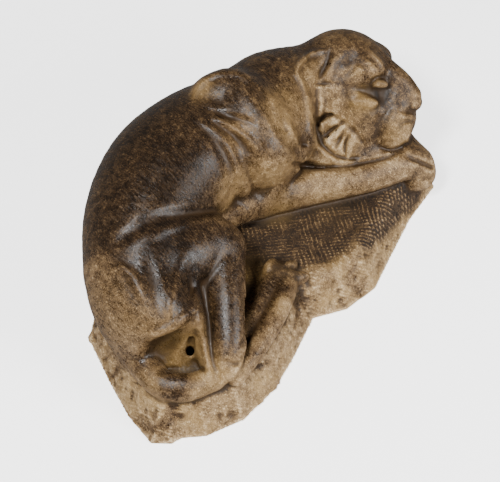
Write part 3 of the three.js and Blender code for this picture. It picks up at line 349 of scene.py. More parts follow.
# Carved lines, as in the solid
LINES = [Line(rows) for rows in [
    # crease between belly and thigh
    [[-6.7, 5.7, 16.6, 2, 0.3], [-14.1, 6.2, 22.3, 2.2, 0.5], [-19.9, 8.4, 23.8, 2.2, 0.5],
     [-25.2, 9.2, 23.6, 2, 0.3], [-30, 9.5, 22, 1.6, 0]],
    # top of the thigh, and the fold of the ham with the crease under it
    [[-28.8, 7.7, 22.7, 1.5, 0], [-23, 5.7, 23.8, 1.8, -0.2], [-14.4, 4.4, 21.9, 1.8, -0.25],
     [-8.5, 1.7, 19.4, 1.6, -0.2], [-7.2, -1.9, 17.4, 1.4, 0]],
    [[-36.3, -5, 13.2, 1.2, -0.1], [-33.6, -8.1, 14.3, 1.4, -0.3], [-29.9, -9.5, 15.7, 1.4, -0.35],
     [-25.3, -9, 15.5, 1.1, -0.1]],
    [[-35.7, -7.2, 11.2, 1, 0.1], [-32.6, -8.3, 10.6, 1.2, 0.3], [-29.7, -10.7, 14, 1.2, 0.35],
     [-25.5, -10.1, 14.4, 0.9, 0.2]],
    # lower edge and rim of the shoulder blade
    [[6.1, 22.3, 29.3, 1.2, 0.1], [5.5, 18.3, 29.4, 1.4, 0.4], [7.4, 15.7, 28.7, 1.4, 0.45],
     [9.1, 13, 28.5, 1.4, 0.4], [10.5, 9.9, 28.3, 1.2, 0.2]],
    [[4.4, 22.3, 29.4, 1.2, -0.1], [8.5, 24.8, 29.2, 1.5, -0.4], [11.5, 24.6, 30.4, 1.5, -0.4],
     [14.8, 23.2, 31.3, 1.4, -0.2]],
    [[12.4, 23.9, 30.8, 1.5, -0.2], [15.4, 21.4, 31.7, 1.6, -0.4], [16.8, 18, 31.6, 1.6, -0.4],
     [16.1, 14, 30.4, 1.4, -0.2]],
    # crest of the hip
    [[-33.6, 7.6, 19.5, 1.2, -0.1], [-31.7, 5.6, 21.3, 1.5, -0.45], [-31.1, 2.7, 21.2, 1.6, -0.5],
     [-31.8, -0.6, 19.9, 1.6, -0.45], [-32.8, -3.7, 18.4, 1.3, -0.1]],
    # muscle of the thigh and the hollows on both sides of it
    [[-18.7, -0.6, 20.3, 1.4, -0.1], [-22.4, -2.4, 18.7, 1.8, -0.35], [-27.4, -5.8, 18.6, 1.8, -0.35],
     [-30.9, -8, 16.7, 1.4, -0.1]],
    [[-26.3, 2.7, 22.3, 1.8, 0.1], [-28.7, -0.9, 20.6, 2.2, 0.4], [-31.1, -5, 18.7, 2.2, 0.4],
     [-32.3, -8, 15.9, 1.6, 0.1]],
    [[-18.8, -3.2, 17.5, 1.3, 0.1], [-22.1, -5.1, 15.6, 1.5, 0.3], [-27.1, -8.9, 16.6, 1.3, 0.15]],
    # calf beside the shank
    [[-19.4, -3.5, 16.9, 1, -0.1], [-22.1, -7.1, 13.3, 1.5, -0.4], [-25.3, -11.5, 10.4, 1.6, -0.5],
     [-26.9, -14.1, 5.3, 1.2, -0.6], [-29.8, -18.5, 3.5, 1.1, -0.3]],
    # ridge along the last rib, the hollow under it, and the valley of the belly
    [[1.9, 19.7, 29.6, 1.3, 0], [3.4, 15.3, 28.4, 1.4, -0.25], [4.2, 11.4, 25.5, 1.4, -0.35],
     [4.4, 8.6, 21.5, 1.3, -0.3], [4.3, 7.3, 16.4, 1.2, 0]],
    [[1.5, 17.5, 29.1, 1.6, 0.1], [2.7, 14, 27.1, 1.8, 0.3], [2.4, 10.2, 24.1, 1.8, 0.35],
     [1.3, 7, 19.9, 1.8, 0.35], [2.8, 7.7, 9.7, 1.5, 0.3]],
    [[4.4, 7.4, 16.9, 1.5, 0.2], [3.3, 6.9, 11.6, 1.5, 0.35], [5, 6.6, 8, 1.3, 0.2]],
    # tool marks down the elbow, and the top edge of the forearm
    [[6, 6.9, 20.7, 1.2, 0.1], [5.9, 6.2, 16.7, 1.3, 0.25], [7.6, 5.6, 11, 1.2, 0.1]],
    [[9.8, 6.1, 7.7, 1.3, 0], [16.6, 4.2, 7.3, 1.6, -0.2], [23.8, 1.9, 7.3, 1.6, -0.2],
     [31.1, -0.5, 6.3, 1.3, -0.1]],
    # back edge of the upper arm
    [[5.3, 18.1, 29.4, 1.2, 0], [6.2, 15.1, 28.5, 1.3, -0.35], [7.5, 12, 27.1, 1.3, -0.4],
     [8.3, 8.6, 25.7, 1.3, -0.4], [8.5, 5.2, 22.9, 1.2, 0]],
    [[3.9, 17, 29.2, 1.4, 0.1], [5.1, 14, 28.1, 1.4, 0.35], [6.6, 10.8, 26, 1.4, 0.35],
     [7.1, 7.7, 23.6, 1.3, 0.2]],
    # between the upper arm and the neck
    [[16.1, 16.1, 31.3, 1.4, 0.2], [16, 12.4, 29.6, 1.9, 0.55], [15.5, 8, 26.8, 2, 0.55],
     [15.9, 5.1, 23.1, 2, 0.6], [17.6, 4.5, 18.4, 1.7, 0.5]],
    # skin fold behind the cheek and under it, the dip behind it and the groove that frees the head
    [[28.4, 14.7, 27.3, 1, 0], [27.9, 12, 25.6, 1.1, -0.25], [27.4, 9.9, 24.1, 1.1, -0.3],
     [24.5, 5.9, 21.1, 1.1, -0.3], [23.9, 4.3, 17.3, 1.1, -0.3], [28.3, 3.8, 8.5, 1.1, -0.25],
     [31.7, -0.5, 7.2, 1, -0.1]],
    [[25.4, 9.2, 23, 2, 0.1], [21.8, 6.3, 21.6, 2.2, 0.3], [21.4, 5.1, 16.8, 1.4, 0.9]],
    [[30.9, 10.6, 23.7, 1, 0.2], [29.4, 8.7, 20.3, 1.1, 0.6], [28.1, 7, 15.1, 1.1, 0.7],
     [28.8, 4.6, 9.5, 1.1, 0.7], [30.4, 1.7, 7.8, 1, 0.6], [32.9, -0.8, 7.5, 0.9, 0.3]],
    # between the two forearms
    [[18.1, 5.2, 13.1, 1.2, 0.5], [23, 5.8, 7.8, 1.3, 0.9], [26.9, 4.1, 5, 1.3, 0.9],
     [29.3, 0.3, 6.2, 1.2, 0.8], [33.3, -2.1, 6.2, 1.1, 0.7], [37.7, -4.7, 6.3, 1, 0.5],
     [42.3, -6, 6.5, 0.9, 0.3]],
    # ear: its rim, its leaf, the groove before it and the fold before that
    [[38.3, 14.7, 26.6, 1.1, -0.2], [36.1, 16.9, 25.6, 1.3, -0.45], [31.9, 16.2, 26.4, 1.3, -0.5],
     [28.8, 14.4, 26.6, 1.2, -0.45], [28.3, 12.1, 25.5, 1, -0.1]],
    [[36.5, 14.2, 25.8, 2.4, -0.2], [33.6, 14.5, 25.1, 2.8, -0.3], [30.9, 13, 25.1, 2, -0.2]],
    [[38.5, 14, 26.6, 0.9, 0.2], [36.8, 13, 25.2, 1, 0.55], [34.8, 12.5, 23.9, 1, 0.5],
     [32.7, 11.7, 23.5, 0.8, 0.2]],
    [[39.3, 11.2, 27.1, 1, -0.1], [36.9, 11.2, 26.1, 1.2, -0.4], [35.1, 10.7, 24.6, 1.2, -0.4],
     [33.9, 10.4, 22.9, 0.8, 0]],
    # hollow of the forehead, furrow and bone of the brow
    [[38.1, 9.6, 25.4, 2.2, 0.2], [40.3, 9.4, 25.9, 2.6, 0.5], [42.2, 8.4, 26.2, 2.2, 0.2]],
    [[43.8, 9.1, 26.4, 1, 0.1], [43.4, 5.7, 26.6, 1.2, 0.45], [44, 3.5, 24.7, 1, 0.2]],
    [[36.7, 8.3, 24, 0.9, 0.1], [38.4, 7.5, 24.9, 1, 0.4], [40.1, 7.1, 25.8, 0.9, 0.1]],
    [[38.5, 7, 24.6, 1.2, -0.2], [39.8, 6.5, 25.2, 1.4, -0.45], [41.2, 4.7, 24.9, 1.4, -0.3],
     [43, 3.5, 24.7, 1.2, -0.1]],
    # shut eye under its lid, and the cheekbone
    [[36.3, 6.9, 21.9, 0.8, 0.1], [38.4, 5.3, 21.6, 1.4, 0.2], [40.9, 3.9, 19.6, 2.4, 0.25],
     [42.2, 2.2, 18.9, 2.8, 0.3], [43.9, 0.8, 18.8, 2.4, 0.25], [45.2, 0.2, 19.3, 1.6, 0.1]],
    [[41.2, 3, 21.7, 0.8, -0.2], [41.9, 2, 22.9, 1, -0.45], [43.1, 1, 22.7, 0.8, -0.2]],
    [[35.4, 5.2, 19, 1.4, 0], [36.7, 3.2, 19.5, 1.6, -0.3], [38.3, 1.7, 20.1, 1.5, -0.45],
     [39.7, 0.6, 19.6, 1.2, -0.3]],
    # ridge and crease behind the muzzle
    [[45.5, -0.1, 19.5, 1.2, -0.1], [43.5, -0.5, 18.1, 1.5, -0.2], [40.9, -0.6, 16.3, 1.3, -0.15]],
    [[43.8, -0.2, 18.6, 1.6, 0.1], [42.4, -0.7, 16.9, 2, 0.2], [40.6, -0.8, 14.4, 2.1, 0.25],
     [39.2, -0.8, 11.6, 2, 0.25], [38, -1.5, 9.4, 1.7, 0.15]],
    # four locks of hair under the cheek, cut free above
    [[33.6, 5.2, 15.6, 1.4, -0.2], [32.2, 6.9, 14, 1.7, -0.6], [29.9, 8, 12.9, 1.2, -0.4]],
    [[34.1, 3.4, 14.5, 1.4, -0.2], [32.4, 4.8, 12.2, 1.8, -0.6], [29.6, 5.4, 10.6, 1.3, -0.5]],
    [[34.9, 1.4, 12.9, 1.4, -0.2], [33.6, 1.5, 10.1, 2, -0.6], [31.6, 1, 8.1, 1.4, -0.5]],
    [[32.5, 3.6, 11, 1.2, -0.2], [30.6, 3.2, 9.2, 1.4, -0.5]],
    [[29.7, 7.9, 16.2, 0.8, 0.5], [31.6, 8.2, 15.4, 0.9, 0.7], [32.3, 7, 16.5, 0.7, 0.3]],
    [[32.3, 7, 16.5, 0.8, 0.3], [33.5, 4.8, 14.9, 0.9, 0.4], [34.3, 2.4, 13.5, 0.9, 0.4],
     [35.3, 0.1, 10.6, 0.8, 0.3]],
    # toes of the paw
    [[46.5, -11.5, 2, 0.9, 0.6], [43.5, -9.5, 5, 0.9, 0.6], [41.5, -8, 7, 0.8, 0.3]],
    # between calf and shank
    [[-18.5, -4.5, 14, 1.4, 0.1], [-23, -10.5, 10.5, 1.6, 0.35], [-26, -15, 6, 1.5, 0.4],
     [-28, -19, 3.5, 1.2, 0.2]],
]]


def stone(p):
    """Distance from each point to the stone, negative inside."""
    d = base_distance(p)
    for form in FORMS:
        form.add_to(d, p)
    close = np.flatnonzero(np.abs(d) < LINE_ZONE * SHARE)
    near = p[close]
    cut = sum(line.depth(near) for line in LINES)
    d[close] += cut
    return np.maximum(d, -p[:, 2])


# Finer lines that only the dressed shell shows, cut after the others
FINE_LINES = [Line(rows, reach=FINE_REACH) for rows in [
    # crease under the ear
    [[31.4, 10.5, 24.4, 0.7, 0.35], [34.1, 9.9, 22.8, 0.8, 0.4], [35.3, 8.1, 22.6, 0.7, 0.1]],
    # above the eyelid
    [[40.8, 3.5, 21.6, 0.6, 0.1], [41.9, 3.5, 23.1, 0.8, 0.25], [43.8, 3.1, 22.9, 0.8, 0.2]],
    # nose and lips
    [[44.2, -3.6, 16.4, 0.9, 0.2], [46.3, -4.5, 15.2, 0.9, 0.5], [47.5, -5, 14.2, 0.7, 0.4]],
    [[47.3, -3.8, 10.6, 0.8, 0.4], [43, -4.9, 14.5, 0.8, 0.4], [41, -5, 14.1, 0.7, 0.1]],
    [[38.4, -3, 8.5, 0.8, 0.3], [40.1, -4.8, 7.6, 0.8, 0.4], [43.4, -5.8, 7.8, 0.8, 0.3]],
    # between the locks
    [[30, 6.4, 11.4, 0.6, 0.5], [32, 6, 12.5, 0.7, 0.6], [33.4, 4.6, 14.5, 0.6, 0.3]],
    [[30.5, 3.4, 9.4, 0.6, 0.5], [32.2, 3.9, 10.9, 0.7, 0.6], [33.4, 3.7, 13.2, 0.6, 0.3]],
    [[31.1, 1.1, 7.8, 0.5, 0.4], [32.3, 2.4, 9.5, 0.6, 0.5], [33.4, 2.7, 11.7, 0.5, 0.2]],
    # between shank and foot, the notched hock, and the top of the tail
    [[-14.3, -12.6, 11.1, 1, 0.3], [-17.3, -16.1, 8.7, 1, 0.5], [-20.5, -18.5, 7.3, 0.9, 0.3]],
    [[-25.1, -18.7, 6.1, 0.8, 0.3], [-23.9, -19.9, 5.3, 0.9, 0.5], [-22.2, -19.6, 5.5, 0.7, 0.2]],
    [[-36.5, -10, 5.2, 0.9, 0.1], [-32.7, -10, 2.3, 1, 0.35], [-31.6, -14.3, 4.6, 1, 0.4],
     [-28.3, -16.1, 4.5, 0.9, 0.2]],
    # edge of the ear
    [[38.3, 14.7, 26.6, 0.6, -0.1], [36.1, 16.9, 25.6, 0.7, -0.3], [31.9, 16.2, 26.4, 0.8, -0.35],
     [28.8, 14.4, 26.6, 0.7, -0.3], [28.3, 12.1, 25.5, 0.6, -0.1]],
    # neck
    [[18.5, 11.9, 29.2, 1.2, 0], [17.7, 8.7, 27.1, 1.3, 0.3], [16.8, 6, 24.2, 1.2, 0.3]],
]]


def carved(p):
    """The stone with its finer lines."""
    d = stone(p)
    close = np.flatnonzero(np.abs(d) < LINE_ZONE * SHARE)
    d[close] += sum(line.depth(p[close]) for line in FINE_LINES)
    return np.maximum(d, -p[:, 2])


# Corners of a cell, the largest block of cells, half a block's diagonal with some slack, and a hair's breadth
CORNERS = np.array([[c & 1, (c >> 1) & 1, (c >> 2) & 1] for c in range(8)])
BLOCK_CELLS = 8
HALF_DIAGONAL = 0.87
SLACK = 1.25
HAIR = 1e-3


def plain_masks():
    """For each of the 256 patterns of inside corners, whether the shell passes through it just once."""
    def joined(mask):
        if not mask:
            return True
        seen = mask & -mask
        for _ in range(8):
            for c in range(8):
                if seen >> c & 1:
                    for bit in (1, 2, 4):
                        seen |= mask & (1 << (c ^ bit))
        return seen == mask
    return np.array([joined(mask) and joined(255 - mask) for mask in range(256)])


def active_cells(field, low, count, step):
    """Cells of the grid near the surface, found by halving blocks."""
    size = BLOCK_CELLS
    starts = [np.arange(0, n, size) for n in count]
    blocks = np.stack(np.meshgrid(*starts, indexing="ij"), -1).reshape(-1, 3)
    while True:
        middle = low + (blocks + size / 2) * step
        near = np.abs(field(middle)) < size * step * HALF_DIAGONAL * SLACK + step / 2
        blocks = blocks[near]
        if size == 2:
            break
        size //= 2
        blocks = (blocks[:, None, :] + CORNERS[None] * size).reshape(-1, 3)
    return (blocks[:, None, :] + CORNERS[None]).reshape(-1, 3)


def shell(field, low, high, step):
    """One vertex in each cell that the surface passes through, and a face round each crossed grid edge."""
    count = (np.ceil((high - low) / step / BLOCK_CELLS) * BLOCK_CELLS).astype(int)
    cells = active_cells(field, low, count, step)
    nx, ny, nz = count + 1
    stride = np.array([ny * nz, nz, 1])
    home = cells @ stride
    offsets = CORNERS @ stride
    value = np.full(nx * ny * nz, np.nan)
    spots = np.unique(home[:, None] + offsets)
    at = np.stack([spots // (ny * nz), spots // nz % ny, spots % nz], -1)
    value[spots] = field(low + at * step)
    plain = plain_masks()
    while True:
        v = value[home[:, None] + offsets]
        mask = ((v < 0) * (1 << np.arange(8))).sum(axis=1)
        pinched = np.flatnonzero(~plain[mask])
        if not len(pinched):
            break
        shallow = np.where(v[pinched] < 0, np.inf, v[pinched]).argmin(axis=1)
        value[home[pinched] + offsets[shallow]] = -HAIR * step
    crossed = (mask > 0) & (mask < 255)
    cells, home, v = cells[crossed], home[crossed], v[crossed]
    total = np.zeros((len(cells), 3))
    number = np.zeros(len(cells))
    for c in range(8):
        for bit in (1, 2, 4):
            e = c | bit
            if c & bit:
                continue
            hit = (v[:, c] < 0) != (v[:, e] < 0)
            t = np.where(hit, v[:, c] / np.where(hit, v[:, c] - v[:, e], 1), 0)
            total += hit[:, None] * (CORNERS[c] + t[:, None] * (CORNERS[e] - CORNERS[c]))
            number += hit
    points = low + (cells + total / number[:, None]) * step
    number_of = np.full(nx * ny * nz, -1)
    number_of[home] = np.arange(len(cells))
    faces = []
    inside = value < 0
    known = ~np.isnan(value)
    sx, sy, sz = stride
    rings = [(sx, (sy + sz, sz, 0, sy)), (sy, (sx + sz, sx, 0, sz)), (sz, (sx + sy, sy, 0, sx))]
    for along, ring in rings:
        start = spots[spots + along < len(value)]
        start = start[known[start + along]]
        start = start[inside[start] != inside[start + along]]
        quad = np.stack([number_of[start - back] for back in ring], -1)
        flip = ~inside[start]
        quad[flip] = quad[flip][:, [0, 3, 2, 1]]
        faces.append(quad)
    return points, np.vstack(faces)


def mesh_object(name, points, faces):
    """A mesh from arrays of vertices and four-cornered faces."""
    mesh = bpy.data.meshes.new(name)
    mesh.vertices.add(len(points))
    mesh.vertices.foreach_set("co", points.astype(np.float32).ravel())
    mesh.loops.add(faces.size)
    mesh.loops.foreach_set("vertex_index", faces.astype(np.int32).ravel())
    mesh.polygons.add(len(faces))
    mesh.polygons.foreach_set("loop_start", np.arange(0, faces.size, faces.shape[1], dtype=np.int32))
    mesh.update(calc_edges=True)
    mesh.validate()
    made = bpy.data.objects.new(name, mesh)
    bpy.context.scene.collection.objects.link(made)
    return made


def apply_modifiers(piece):
    """Bakes the modifiers of a piece into its mesh."""
    graph = bpy.context.evaluated_depsgraph_get()
    mesh = bpy.data.meshes.new_from_object(piece.evaluated_get(graph))
    piece.modifiers.clear()
    piece.data = mesh


def vertices_of(mesh):
    """The places of a mesh's vertices, one row each."""
    out = np.empty(len(mesh.vertices) * 3, dtype=np.float32)
    mesh.vertices.foreach_get("co", out)
    return out.reshape(-1, 3).astype(float)


def normals_of(mesh):
    """The outward directions at a mesh's vertices, one row each."""
    out = np.empty(len(mesh.vertices) * 3, dtype=np.float32)
    mesh.vertex_normals.foreach_get("vector", out)
    return out.reshape(-1, 3).astype(float)


def set_attribute(mesh, name, values):
    """Keeps a mask from 0 to 1 on the mesh, for the material to read."""
    layer = mesh.attributes.new(name, "FLOAT", "POINT")
    layer.data.foreach_set("value", np.clip(values, 0, 1).astype(np.float32))


# Random values repeat after this many steps, and are read this far off the origin
LATTICE = 64
LATTICE_START = 1000


def lattice_noise(p, size, seed):
    """Smooth random values from -1 to 1, a new one every size metres."""
    rng = np.random.default_rng(seed)
    n = LATTICE
    table = rng.uniform(-1, 1, (n, n, n))
    q = p / size + LATTICE_START
    i = np.floor(q).astype(int)
    f = q - i
    f = f * f * (3 - 2 * f)
    out = np.zeros(len(p))
    for corner in CORNERS:
        j = (i + corner) % n
        weight = np.prod(np.where(corner == 1, f, 1 - f), axis=1)
        out += weight * table[j[:, 0], j[:, 1], j[:, 2]]
    return out


def rough(p, size, seed, layers=3):
    """Noise in layers, each finer and weaker, as strong in all as three of them."""
    total = sum(lattice_noise(p, size / 2 ** k, seed + k) / 2 ** k for k in range(layers))
    return total / (1 + 1 / 2 + 1 / 4)


def smooth_step(low, high, x):
    """0 at low, 1 at high, and smooth between them."""
    t = np.clip((x - low) / (high - low), 0, 1)
    return t * t * (3 - 2 * t)


# Patina by place, with painted shade in a few recesses, in shares: x, y, height and reach of the patch,
# then its tone (0 dark and polished, 1 pale), how far it is left tooled, and how much ochre lies in it
PATINA_AND_SHADE = np.array([
    (-18, 17, 27, 9, .1, 0, 0),  # back
    (-7, 16, 29, 8, .1, 0, 0),  # loin
    (12, 18, 31, 5, .2, 0, 0),  # shoulder blade
    (9, 23, 30, 2, .5, 1, 0.5),  # blade edge
    (-20, 2, 22, 7, .02, 0, 0),  # thigh
    (-26, -6, 18, 3, .15, 0, 0),  # back of the thigh
    (-10, -5, 16, 4, .1, 0, 0),  # knee
    (-20, -13, 12, 4, .15, 0, 0),  # shank
    (-37, 2, 15, 5, .4, 0, 0.15),  # rump
    (-34, 10, 18, 3, .4, 0, 0),  # hip
    (-33, -7, 16, 3, .4, 0, 0.2),  # fold of ham
    (-28, -9, 4, 3.2, .6, 0.3, 1),  # ham hollow
    # Painted shade: the mouth of the hole painted black
    (-28.5, -10.5, 3.6, 1.3, 0, .5, 0),  # mouth of the hole
    (-25, -10, 11, 2, .5, 0, 0.4),  # calf
    (-36, -14, 5, 2.5, .15, 0, 0),  # tail
    (-39, -10, 4, 2, .36, 0, 0.3),  # outer edge of the tail
    (-32, -19, 2, 2, .4, 0, 0.3),  # under the tail
    (-29, -18, 4, 2.5, .6, 0, 0.5),  # beside the tail
    (8, 11, 27, 3, .45, 0, 0.1),  # upper arm
    (10, 4, 16, 4, .55, 0, 0.3),  # elbow
    (23, -1, 6, 4.5, .6, 0, 0.15),  # forearm
    (36, -7, 6, 4, .55, 0, 0),  # wrist
    (44, -10, 5, 2.6, .3, 1, 0),  # paw
    (45, -12, 1, 2, .45, 1, 0.2),  # toes of the paw
    (30, 2, 8, 2.5, .65, 0, 0.3),  # far forearm
    (19, 8, 26, 4, .5, 0, 0.4),  # neck
    (27, 19, 28, 5, .25, 0, 0),  # nape
    (26, 7, 23, 1.8, .65, 0, 0.4),  # skin fold
    (1, 7, 17, 3, .5, 0, 0.5),  # belly
    (31, 12, 28, 3.4, .6, 1, 0.3),  # ear
    (33, 9, 20, 3, .6, 1, 0.1),  # back of the cheek
    (43, 12, 28, 4.5, .36, .4, 0),  # forehead
    (40, 9.5, 26.5, 2.2, .22, .4, 0),  # hollow of the forehead
    (43, 5, 26, 1.6, .4, .8, 0),  # bone of the brow
    (39, 7, 25, 1.2, .6, 1, 0.4),  # brow
    (37, 8, 23, 2, .38, .6, 0),  # temple
    (42, 2, 23, 1.2, .36, .6, 0.2),  # eyelid
    (37.5, 2.5, 19.5, 2.2, .52, .5, 0.7),  # cheek
    (36, 1.5, 15, 2.4, .36, .5, 0.1),  # lower cheek
    (39, -1, 13, 1.6, .3, .6, 0),  # behind the muzzle
    (46, -1, 19, 3, .36, .4, 0),  # bridge of the nose
    (48, -4, 18, 1.4, .45, 1, 0.2),  # nose
    # Painted shade in the nostril
    (47.5, -4.5, 15.5, 1.4, .15, 1, 0),  # nostril
    (42, -5, 13, 2.6, .38, 1, 0.4),  # lip
    # Painted shade in the socket under the shut eye, over dark patina
    (42, 1.8, 19.5, 2, .05, 1, 0),  # under the eye
    (31, 3, 13, 3.5, .7, 1, 0.35),  # locks
    # Painted shade: the next two patches darken the valley between shank and foot
    (-5, -10, 2, 3.2, .12, 0, 0),  # inside of the hind foot
    (-12, -14, 2, 2, .2, 0, 0),  # between shank and foot
    (3, -9, 2, 2.4, .12, 1, 0.1),  # toes
    (-5, -15, 3, 1.8, .6, 0, 0.3),  # outer edge of the hind foot
    (-24, -21, 3, 2, .5, 1, 0.3),  # heel
    (-2, -3, 1, 2.5, .45, 0, .8),  # between knee and foot
    (14, 6, 3, 3, .4, 0, .5),  # under the elbow
])
# Tone where no patch reaches, how far it pales low down and over what height, and its weight against a patch;
# paler low down is partly a lighter patina and partly painted light, darker on top partly painted shade
PLAIN_TONE = 0.22
LOW_PALER = 0.2
LOW_HEIGHT = 0.09
PLAIN_WEIGHT = 0.12

# Where the top of the base gives way to its side, and how near the base's own form a point counts as base
EDGE_BAND = 0.004
BASE_NEAR = 0.0004
BASE_OFF = 0.0016

# Edge of the base under the paw, rubbed dark like the top: x, y, height, reach
RUBBED = np.array([(41.5, -9.5, -2, 9), (34, -10.5, 0, 9), (29, -12.5, 0, 7), (23, -14, 0, 4)])


def patina_and_shade(p):
    """Tone, tooling and ochre of the figure, blended from the patches (a few paint shade into recesses),
    darker on top than low down: partly patina, partly painted shade and light by height.
    """
    spots = place(PATINA_AND_SHADE[:, :3])
    height = smooth_step(BASE_HEIGHT, BASE_HEIGHT + LOW_HEIGHT, p[:, 2])
    weight = np.full((len(p), 1), PLAIN_WEIGHT)
    total = np.zeros((len(p), 3))
    total[:, 0] = PLAIN_WEIGHT * (PLAIN_TONE + LOW_PALER * (1 - height))
    for spot, (reach, *looks) in zip(spots, PATINA_AND_SHADE[:, 3:]):
        share = np.exp(-(((p - spot) ** 2).sum(axis=1)) / (reach * SHARE) ** 2)[:, None]
        weight += share
        total += share * looks
    return (total / weight).T


def zones(p):
    """How much each point belongs to the top of the base and to the sides of the base."""
    base = smooth_step(BASE_OFF, BASE_NEAR, np.abs(base_distance(p)))
    side = outline_distance(p) + p[:, 2] * BASE_FLARE / BASE_HEIGHT
    inside = smooth_step(-0.5 * EDGE_BAND, -4 * EDGE_BAND, side)
    for spot, reach in zip(place(RUBBED[:, :3]), RUBBED[:, 3] * SHARE):
        inside = np.maximum(inside, smooth_step(reach, 0.6 * reach, np.linalg.norm(p - spot, axis=1)))
    top = base * inside
    return top, base - top


# Chisel cuts: how far a row wavers and over what length, and the size of the places that the chisel left out
WAVER = 0.0012
WAVER_LENGTH = 0.012
SKIPPED = 0.011

# Rows of cuts: direction seen from above, pitch and seed; and how deep they go on the top and on the sides
TOP_ROWS = (((0.62, 0.78), 0.0034, 41), ((0.85, -0.53), 0.0038, 51))
SIDE_ROWS = ((0.9, 0.4), 0.0038, 61)
TOP_CUT = 0.00036
SIDE_CUT = 0.00025
SIDE_SLANT = 0.6

# Unevenness: depth, size of its bumps, seed and layers
HAND_CUT = (0.00030, 0.013, 1, 3)
TOOLED = (0.00055, 0.0045, 11, 2)
HEWN = (0.0026, 0.020, 21, 4)
CHIPPED = (0.0020, 0.010, 25, 3)
DRESSED = (0.0005, 0.010, 31, 2)

# The underside stays flat up to this height
FLAT_FOOT = 0.0015


def teeth(p, ahead, pitch, seed):
    """Rows of a toothed chisel across one direction, wavering by hand."""
    ahead = np.array(ahead) / np.hypot(*ahead)
    phase = p[:, 0] * ahead[0] + p[:, 1] * ahead[1] + WAVER * rough(p, WAVER_LENGTH, seed, 2)
    strength = smooth_step(-0.5, 0.3, lattice_noise(p, SKIPPED, seed + 7))
    return strength * np.sin(phase * 2 * math.pi / pitch)


def hatching(p):
    """Two sets of chisel rows that cross on the top of the base."""
    first, second = TOP_ROWS
    return teeth(p, *first) + teeth(p, *second)


def uneven(p, kind):
    """One kind of unevenness, in metres, at each point."""
    depth, *rest = kind
    return depth * rough(p, *rest)


def relief(p, tooled):
    """How far the surface stands off the plain form: hewn base, chisel work and hand-cut unevenness."""
    top, side = zones(p)
    figure = 1 - np.maximum(top, side)
    slanting = p + p[:, 2:] * SIDE_SLANT
    out = figure * uneven(p, HAND_CUT)
    out += figure * tooled * uneven(p, TOOLED)
    out += side * (uneven(p, HEWN) - np.abs(uneven(p, CHIPPED)))
    out += side * SIDE_CUT * teeth(slanting, *SIDE_ROWS)
    out += top * uneven(p, DRESSED)
    out += top * TOP_CUT * hatching(p)
    return out


def smoothed(mesh, points, rounds):
    """Vertices drawn towards their neighbours, again and again, to see what stands above or below them."""
    ends = np.empty(len(mesh.edges) * 2, dtype=np.int32)
    mesh.edges.foreach_get("vertices", ends)
    a, b = ends.reshape(-1, 2).T
    count = np.bincount(ends, minlength=len(points))[:, None]
    out = points
    for _ in range(rounds):
        total = np.empty_like(out)
        for i in range(3):
            total[:, i] = np.bincount(a, out[b, i], len(out)) + np.bincount(b, out[a, i], len(out))
        out = total / count
    return out


# Rounds of smoothing that show fine dips and deep ones, and how deep each is where its mask is full
FINE_ROUNDS = 6
DEEP_ROUNDS = 90
FINE_DIP = 0.0006
DEEP_DIP = 0.003


def rough_shell():
    """The carved stone with its relief, thinned out to the triangles that it may have."""
    room = 2 * GRID_STEP
    low = np.array([OUTLINE[:, 0].min(), OUTLINE[:, 1].min(), 0]) - room
    high = np.array([OUTLINE[:, 0].max(), OUTLINE[:, 1].max() + 2 * SHARE, cad_box[1][2]]) + 4 * room
    points, faces = shell(carved, low, high, GRID_STEP)
    piece = mesh_object("lion_skin", points, faces)
    normals = normals_of(piece.data)
    lift = np.where(points[:, 2] > FLAT_FOOT, relief(points, patina_and_shade(points)[1]), 0)
    points = points + normals * lift[:, None]
    piece.data.vertices.foreach_set("co", points.astype(np.float32).ravel())
    piece.data.update()
    thin = piece.modifiers.new("fewer", "DECIMATE")
    thin.ratio = min(1, MOST_TRIANGLES / (2 * len(faces)))
    apply_modifiers(piece)
    return piece


def keep_masks(mesh, points):
    """Where the stone is hollow, proud, deep, pale, tooled, stained, top or side of the base."""
    normals = normals_of(mesh)
    near, far = smoothed(mesh, points, FINE_ROUNDS), smoothed(mesh, points, DEEP_ROUNDS)
    bend = ((near - points) * normals).sum(axis=1)
    dip = ((far - points) * normals).sum(axis=1)
    tone, tooled, ochre = patina_and_shade(points)
    top, side = zones(points)
    masks = {
        "hollow": bend / FINE_DIP, "proud": -bend / FINE_DIP, "deep": dip / DEEP_DIP,
        "tone": tone, "tooled": tooled, "ochre": ochre, "plane": top, "flank": side,
        "teeth": 0.5 + 0.25 * hatching(points),
    }
    for name, values in masks.items():
        set_attribute(mesh, name, values)


def carve_lion():
    """The finished shell, its footprint centred on the origin as the solid's is, and its middle before."""
    piece = rough_shell()
    mesh = piece.data
    points = vertices_of(mesh)
    keep_masks(mesh, points)
    middle = (points.max(axis=0) + points.min(axis=0)) / 2
    points[:, :2] -= middle[:2]
    mesh.vertices.foreach_set("co", points.astype(np.float32).ravel())
    mesh.polygons.foreach_set("use_smooth", np.ones(len(mesh.polygons), dtype=bool))
    mesh.update()
    return piece, middle[:2]


